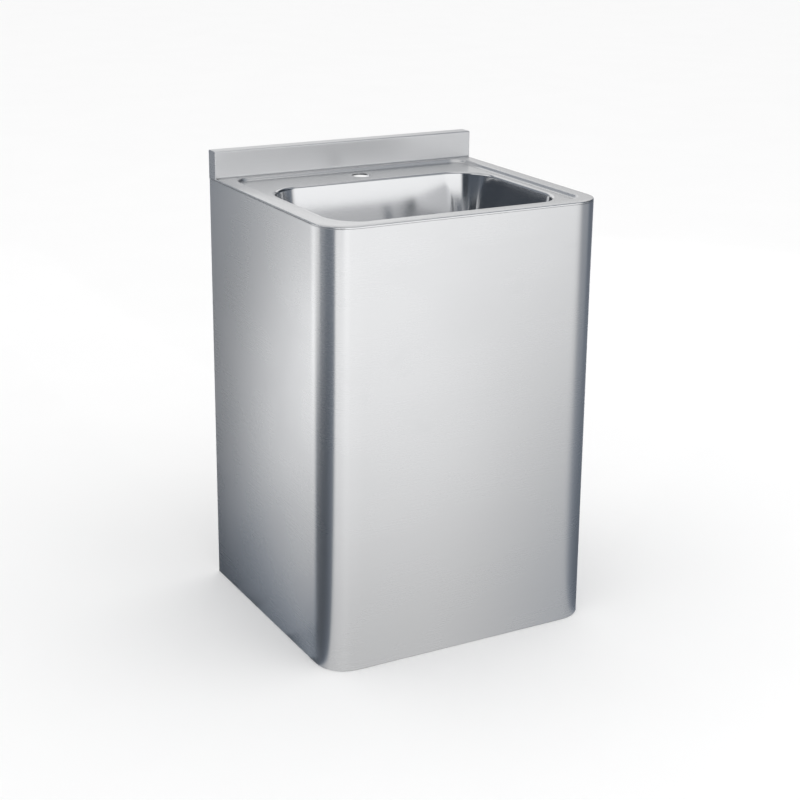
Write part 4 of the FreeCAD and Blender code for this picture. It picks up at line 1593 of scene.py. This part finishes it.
    def build(self, shop: Workshop) -> None:
        """Makes the turned pieces, and dresses the ones that keep their CAD form.

        Args:
            shop: Workshop that makes the pieces.
        """
        thread, hole = self.stem + self.play, self.tube + self.play
        couplings = (("inlet_nut", False, Axis.UPRIGHT), ("body_nut", True, Axis.UPRIGHT),
                     ("outlet_nut", True, Axis.LEVEL))
        nuts = [self.nut(node, self.nut_radius, thread, hole, self.web, above, axis=axis)
                for node, above, axis in couplings]
        ring = self.nut("cup_ring", self.ring_radius, self.cup_flange + self.play, self.cup + self.play,
                        self.ring_web, False, body=Body.RING, flutes=16, columns=256)
        for turning in (*self.waste(), *self.tubes(), *nuts, ring, self.bottle()):
            turning.build(shop)
        shop.dress(BRIGHT, "strainer")
        shop.dress(PLASTIC, "trap_body")
        shop.dress(SEAL, "waste_top_seal", "waste_under_seal", "inlet_seal", "body_seal", "cup_seal",
                   "outlet_seal")
        shop.dress(PAD, "sound_pad")


# Studio


@dataclass(frozen=True)
class Panel:
    """A lit or dark panel of the tent, between two headings and two heights of view.

    Attributes:
        headings: First and last heading in degrees, from the front towards the left.
        heights: Lowest and highest angle above the level of the rim, in degrees.
        glow: Brightness.
        soft: Width of its soft edges in degrees.
    """

    headings: Span
    heights: Span
    glow: float
    soft: float

    def share(self, heading: Array, height: Array) -> Array:
        """How much of the panel shows at each heading and height, from 0 to 1.

        Args:
            heading: Headings in degrees.
            height: Angles above the rim in degrees.

        Returns:
            Shares.
        """
        middle = (self.headings[0] + self.headings[1]) / 2
        half = (self.headings[1] - self.headings[0]) / 2
        off = np.abs((heading - middle + 180) % 360 - 180)
        level = np.minimum(height - self.heights[0], self.heights[1] - height)
        return smooth((half - off) / self.soft + 0.5) * smooth(level / self.soft + 0.5)


@dataclass(frozen=True)
class GroundLight:
    """Light on the tent's floor: a wide field in front and a slanting beam along each side.

    Headings are in degrees from the front, towards the left for the field and outwards for the beams. A pair
    gives where something starts and where it is full, or a brightness beside the basin and one far away.

    Attributes:
        sizes: Shared sizes.
        unlit: Brightness outside the field and the beams.
        field_levels: Brightness of the field.
        field_end: Heading of the field's left edge, far away, from the left front corner.
        flare: How much further the field reaches beside the basin.
        flare_fade: Distance in which the flare fades.
        edge: Width of the field's left edge in degrees.
        halo: Share of the field that fades more softly.
        halo_edge: Start and end of that softer edge, counted from the field's left edge.
        lift: How much brighter the field is towards its left edge.
        lift_span: Headings over which it grows brighter.
        right_span: Headings from the right front corner over which the field appears.
        right_turn: Heading from the right front corner past which it darkens.
        right_decay: Degrees in which it darkens.
        right_least: Share that is left of it.
        slant: Degrees that a line in front leans to the right; the field is dimmer to the right of it.
        slant_span: Distances to the right of that line over which it dims.
        slant_loss: Share that it loses.
        beam_levels: Brightness of the beams.
        beam_rise: Distance in which they grow brighter.
        beam_heading: Heading along which they run back.
        beam_span: Places on the basin's side between which they grow brighter.
        left_heading: Heading at which the left beam is full.
        left_edge: Width of its edge beside the basin and what it gains further away, in degrees.
        left_growth: Distance, largest multiple of it and power by which that edge widens.
        right_heading: Headings over which the right beam appears.
    """

    sizes: BasinSizes
    unlit: float = 0.1
    field_levels: Span = (0.72, 1.30)
    field_end: float = 54.0
    flare: float = 20.0
    flare_fade: float = 0.9
    edge: float = 6.0
    halo: float = 0.18
    halo_edge: Span = (36.0, -4.0)
    lift: float = 0.09
    lift_span: Span = (5.0, 30.0)
    right_span: Span = (-136.0, -112.0)
    right_turn: float = -34.0
    right_decay: float = 16.0
    right_least: float = 0.2
    slant: float = 31.0
    slant_span: Span = (-0.12, 0.30)
    slant_loss: float = 0.32
    beam_levels: Span = (0.30, 1.85)
    beam_rise: float = 0.7
    beam_heading: float = 155.0
    beam_span: Span = (0.26, -0.20)
    left_heading: float = 152.0
    left_edge: Span = (4.0, 22.0)
    left_growth: tuple[float, float, float] = (2.0, 1.2, 2.4)
    right_heading: Span = (125.0, 131.0)

    def field_share(self, x: Array, y: Array, ahead: Array, beside: Array) -> Array:
        """Share of the field: soft edges by heading from the two front corners, dimmer to the right.

        Args:
            x: Places to the right.
            y: Places to the back.
            ahead: Distances in front of the middles of the corner bends.
            beside: Distances from the basin.

        Returns:
            Shares.
        """
        corner = self.sizes.half_width - self.sizes.corner_radius
        from_left = np.degrees(np.arctan2(-x - corner, ahead))
        from_right = np.degrees(np.arctan2(corner - x, ahead))
        end = self.field_end + self.flare * np.exp(-beside / self.flare_fade)
        share = self.halo * ramp(from_left, end + self.halo_edge[0], end + self.halo_edge[1])
        share += (1 - self.halo) * ramp(from_left, end + self.edge / 2, end - self.edge / 2)
        share *= (1 + self.lift * ramp(from_left, *self.lift_span)) * ramp(from_right, *self.right_span)
        darker = np.exp(np.minimum(from_right - self.right_turn, 0) / self.right_decay)
        share *= self.right_least + (1 - self.right_least) * darker
        off_line = x + (y + self.sizes.half_depth) * math.tan(math.radians(self.slant))
        return share * (1 - self.slant_loss * ramp(off_line, *self.slant_span))

    def beam_share(self, x: Array, y: Array, ahead: Array, beside: Array) -> Array:
        """Share of the beams: even growth across their width, and an edge by heading from the front corner.

        Args:
            x: Places to the right.
            y: Places to the back.
            ahead: Distances in front of the middles of the corner bends.
            beside: Distances from the basin.

        Returns:
            Shares.
        """
        outside = np.abs(x) - self.sizes.half_width
        from_side = np.degrees(np.arctan2(outside, ahead))
        leaves = y + outside / math.tan(math.radians(self.beam_heading))
        across = np.clip((leaves - self.beam_span[0]) / (self.beam_span[1] - self.beam_span[0]), 0, 1)
        distance, most, power = self.left_growth
        width = self.left_edge[0] + self.left_edge[1] * np.minimum(beside / distance, most) ** power
        left = np.exp(-0.5 * (np.maximum(self.left_heading - from_side, 0) / width) ** 2)
        return across * np.where(x < 0, left, ramp(from_side, *self.right_heading)) * (outside > 0)

    def at(self, x: Array, y: Array) -> Array:
        """Brightness of places on the floor; field and beams grow brighter away from the basin.

        Args:
            x: Places to the right.
            y: Places to the back.

        Returns:
            Brightness of each place.
        """
        s = self.sizes
        ahead = -y - s.half_depth + s.corner_radius
        beside = np.maximum(np.maximum(np.abs(x) - s.half_width, np.abs(y) - s.half_depth), 0.0)
        field_near, field_far = self.field_levels
        beam_near, beam_far = self.beam_levels
        field_level = field_near + (field_far - field_near) * (1 - np.exp(-beside ** 2))
        beam_level = beam_near + (beam_far - beam_near) * (1 - np.exp(-beside / self.beam_rise))
        lit = self.field_share(x, y, ahead, beside) * (field_level - self.unlit)
        return self.unlit + lit + self.beam_share(x, y, ahead, beside) * (beam_level - self.unlit)


@dataclass(frozen=True)
class CameraView:
    """Where the camera stands and how it looks.

    Attributes:
        place: Its place.
        yaw: Degrees that it turns from +Y towards +X.
        tilt: Degrees that it looks down.
        roll: Degrees that it leans.
        focal_pixels: Focal length in pixels of the frame.
        shift_pixels: Vertical shift in pixels of the frame.
        frame_pixels: Side of the frame.
        sensor: Width of the sensor in millimetres.
        farthest: Distance up to which it sees.
    """

    place: tuple[float, float, float] = (-1.4186, -2.5755, 1.3862)
    yaw: float = 28.82
    tilt: float = 16.98
    roll: float = 0.56
    focal_pixels: float = 1650.0
    shift_pixels: float = -48.0
    frame_pixels: float = 800.0
    sensor: float = 36.0
    farthest: float = 200.0

    def matrix(self) -> Matrix:
        """World matrix: columns right, up and backwards, leaned by the roll, then the place.

        Returns:
            The matrix.
        """
        yaw, tilt, roll = (math.radians(a) for a in (self.yaw, self.tilt, self.roll))
        ahead = Vector((math.sin(yaw) * math.cos(tilt), math.cos(yaw) * math.cos(tilt), -math.sin(tilt)))
        right = Vector((math.cos(yaw), -math.sin(yaw), 0.0))
        up = right.cross(ahead)
        leaned_right = math.cos(roll) * right + math.sin(roll) * up
        leaned_up = math.cos(roll) * up - math.sin(roll) * right
        turn = Matrix((leaned_right, leaned_up, -ahead)).transposed()
        return Matrix.Translation(self.place) @ turn.to_4x4()


@dataclass
class Studio:
    """Pale floor, soft light, a tent that polished metal reflects, and the camera.

    Attributes:
        sizes: Shared sizes.
        view: Camera's view.
        target: Point that the lamp faces.
        floor_radii: Radii of the floor's rings.
        floor_cells: Cells round the floor.
        floor_tones: Darkest and lightest tone of the floor.
        tent_radius: Radius of the tent.
        tent_height: Height of the tent.
        tent_lift: Height of its floor above the studio's floor.
        tent_middle: Radius of the finer middle of its floor.
        tent_gaps: Gaps between that middle and the rest of the floor, floor and wall, wall and roof.
        tent_rows: Points on the middle, the rest of the floor, the wall and the roof.
        tent_cells: Cells round the tent.
        cool: Tint of its dark parts; bright parts are white.
        panels: Panels above the ground, each laid over the ones before.
        sky: Brightness of the surroundings.
        lamp_power: Power of the soft lamp.
        lamp_size: Side of the lamp.
        lamp_place: Place of the lamp.
    """

    sizes: BasinSizes
    view: CameraView = CameraView()
    target: Vector = field(default_factory=lambda: Vector((0.0, 0.0, 0.45)))
    floor_radii: tuple[float, ...] = (0.0, 0.5, 1.5, 4.0, 12.0, 60.0)
    floor_cells: int = 64
    floor_tones: Span = (0.93, 0.95)
    tent_radius: float = 3.2
    tent_height: float = 3.2
    tent_lift: float = 0.5 * MM
    tent_middle: float = 0.6
    tent_gaps: tuple[float, float, float] = (0.05, 0.02, 0.05)
    tent_rows: tuple[int, int, int, int] = (16, 30, 40, 24)
    tent_cells: int = 360
    cool: Colour = (0.74, 0.86, 1.04)
    panels: tuple[Panel, ...] = (
        Panel((-180, 180), (-14, 95), 0.22, 3.0),
        Panel((-78, -30), (-14, 38), 0.60, 18.0),
        Panel((-44, 26), (-14, 38), 1.40, 12.0),
        Panel((50, 86), (-14, 0), 0.34, 6.0),
        Panel((10, 55), (-14, 2), 1.48, 5.0),
        Panel((-130, -44), (3, 40), 0.06, 26.0),
        Panel((30, 116), (1, 46), 0.12, 5.0),
        Panel((50, 104), (3, 9), 0.16, 5.0),
        Panel((29, 48), (3, 9), 0.04, 5.0),
        Panel((60, 146), (25, 46), 1.25, 5.0),
        Panel((88, 130), (-14, 2), 0.45, 14.0),
        Panel((112, 151), (-14, 2), 1.15, 7.0),
        Panel((146, 184), (3, 36), 0.36, 6.0),
        Panel((-184, -124), (-6, 38), 1.05, 10.0),
        Panel((-148, -120), (-6, 19), 0.70, 8.0),
        Panel((130, 230), (42, 62), 0.80, 8.0),
        Panel((-104, -40), (42, 62), 0.50, 10.0),
        Panel((-180, 180), (62, 95), 0.90, 12.0),
    )
    sky: float = 1.05
    lamp_power: float = 10.0
    lamp_size: float = 2.4
    lamp_place: tuple[float, float, float] = (1.0, -1.6, 2.9)

    def floor(self) -> None:
        """Round pale floor: rings of points, closer together near the middle."""
        radii, turn = np.array(self.floor_radii), np.linspace(0, 2 * math.pi, self.floor_cells + 1)
        flat = radii[:, None, None] * np.stack([np.cos(turn), np.sin(turn)], axis=-1)
        floor = mesh_object("floor", [Surface(raised(flat, np.zeros(len(radii))), flat)])
        material, nodes, shader = new_material("pale_floor")
        place = nodes.add("ShaderNodeTexCoord").outputs["Object"]
        dark, light = ((tone, tone, tone) for tone in self.floor_tones)
        tone = nodes.mix(nodes.noise(place, 3.0, detail=2.0), dark, light)
        nodes.feed(shader, {"Base Color": tone, "Roughness": 0.9, "Specular IOR Level": 0.1})
        floor.data.materials.append(material)

    def tent(self) -> None:
        """Tent round the basin that only reflections see: a turned profile with soft panels.

        The profile runs out along the floor, up the wall and in along the roof. Its brightness comes from the
        panels, by heading and height of view from the rim, and from the light on its floor.
        """
        turn = np.linspace(-math.pi, math.pi, self.tent_cells + 1)
        gap, foot_gap, roof_gap = self.tent_gaps
        middle_rows, floor_rows, wall_rows, roof_rows = self.tent_rows
        out = np.concatenate([np.linspace(0.0, self.tent_middle, middle_rows),
                              np.linspace(self.tent_middle + gap, self.tent_radius, floor_rows)])
        up = np.linspace(foot_gap, self.tent_height, wall_rows)
        roof = np.linspace(self.tent_radius - roof_gap, 0.0, roof_rows)
        radius = np.concatenate([out, np.full(len(up), self.tent_radius), roof])
        rise = np.concatenate([np.zeros(len(out)), up, np.full(len(roof), self.tent_height)]) + self.tent_lift
        flat = -radius[:, None, None] * np.stack([np.sin(turn), np.cos(turn)], axis=-1)
        tent = mesh_object("reflection_tent", [Surface(raised(flat, rise), flat)])
        spots = np.empty(len(tent.data.vertices) * 3)
        tent.data.vertices.foreach_get("co", spots)
        glow = tent.data.attributes.new("glow", "FLOAT", "POINT")
        glow.data.foreach_set("value", self.glow(spots.reshape(-1, 3)).astype(np.float32))
        material, nodes, _ = new_material("tent_cloth")
        nodes.tree.nodes.clear()
        level = nodes.add("ShaderNodeAttribute", attribute_name="glow").outputs["Fac"]
        tint = nodes.mix(nodes.spread(level, 0.1, 0.75, 0.0, 1.0), self.cool, (1.0, 1.0, 1.0))
        cloth = nodes.add("ShaderNodeEmission", {"Color": tint, "Strength": level})
        nodes.add("ShaderNodeOutputMaterial", {"Surface": cloth.outputs[0]})
        material.cycles.emission_sampling = "NONE"
        tent.data.materials.append(material)
        tent.visible_camera = tent.visible_diffuse = tent.visible_shadow = False

    def glow(self, spots: Array) -> Array:
        """Brightness of points on the tent.

        Args:
            spots: Points by 3.

        Returns:
            Brightness of each point.
        """
        x, y, z = spots.T
        heading = np.degrees(np.arctan2(-x, -y))
        height = np.degrees(np.arctan2(z - self.sizes.rim, np.hypot(x, y)))
        glow = GroundLight(self.sizes).at(x, y)
        for panel in self.panels:
            glow += panel.share(heading, height) * (panel.glow - glow)
        return glow

    def light(self) -> None:
        """Even surroundings and one large soft lamp above and in front."""
        world = bpy.data.worlds.new("surroundings")
        bpy.context.scene.world = world
        world.use_nodes = True
        back = world.node_tree.nodes["Background"]
        back.inputs["Color"].default_value = (1.0, 1.0, 1.0, 1.0)
        back.inputs["Strength"].default_value = self.sky
        world.cycles_visibility.glossy = False
        lamp = bpy.data.lights.new("soft_lamp", "AREA")
        lamp.shape, lamp.size, lamp.size_y = "RECTANGLE", self.lamp_size, self.lamp_size
        lamp.energy = self.lamp_power
        holder = bpy.data.objects.new("soft_lamp", lamp)
        holder.location = Vector(self.lamp_place)
        holder.rotation_euler = (holder.location - self.target).to_track_quat("Z", "Y").to_euler()
        holder.visible_glossy = False
        bpy.context.scene.collection.objects.link(holder)

    def camera(self) -> None:
        """Camera at the photograph's viewing angle."""
        view = self.view
        data = bpy.data.cameras.new("camera")
        data.sensor_width = view.sensor
        data.lens = view.focal_pixels * view.sensor / view.frame_pixels
        data.shift_y = view.shift_pixels / view.frame_pixels
        data.clip_end = view.farthest
        camera = bpy.data.objects.new("camera", data)
        camera.matrix_world = view.matrix()
        bpy.context.scene.collection.objects.link(camera)
        bpy.context.scene.camera = camera

    def build(self) -> None:
        """Sets up floor, tent, light, camera and plain colour management."""
        self.floor()
        self.tent()
        self.light()
        self.camera()
        bpy.context.scene.view_settings.view_transform = "Standard"


def main() -> None:
    """Builds the classes in order."""
    logging.basicConfig(level=logging.INFO, format="%(name)s: %(message)s")
    shop, sizes = Workshop(), BasinSizes()
    for assembly in (Shroud(sizes), Top(sizes), Bowl(sizes), Splashback(sizes), Fittings()):
        assembly.build(shop)
    shop.dress(SATIN_PLAIN, "tap_plate", "rear_top_rail", "rear_tie_bar")
    shop.dress(FIXING, "rim_studs", "rim_nuts")
    Studio(sizes).build()


if __name__ == "__main__":
    main()
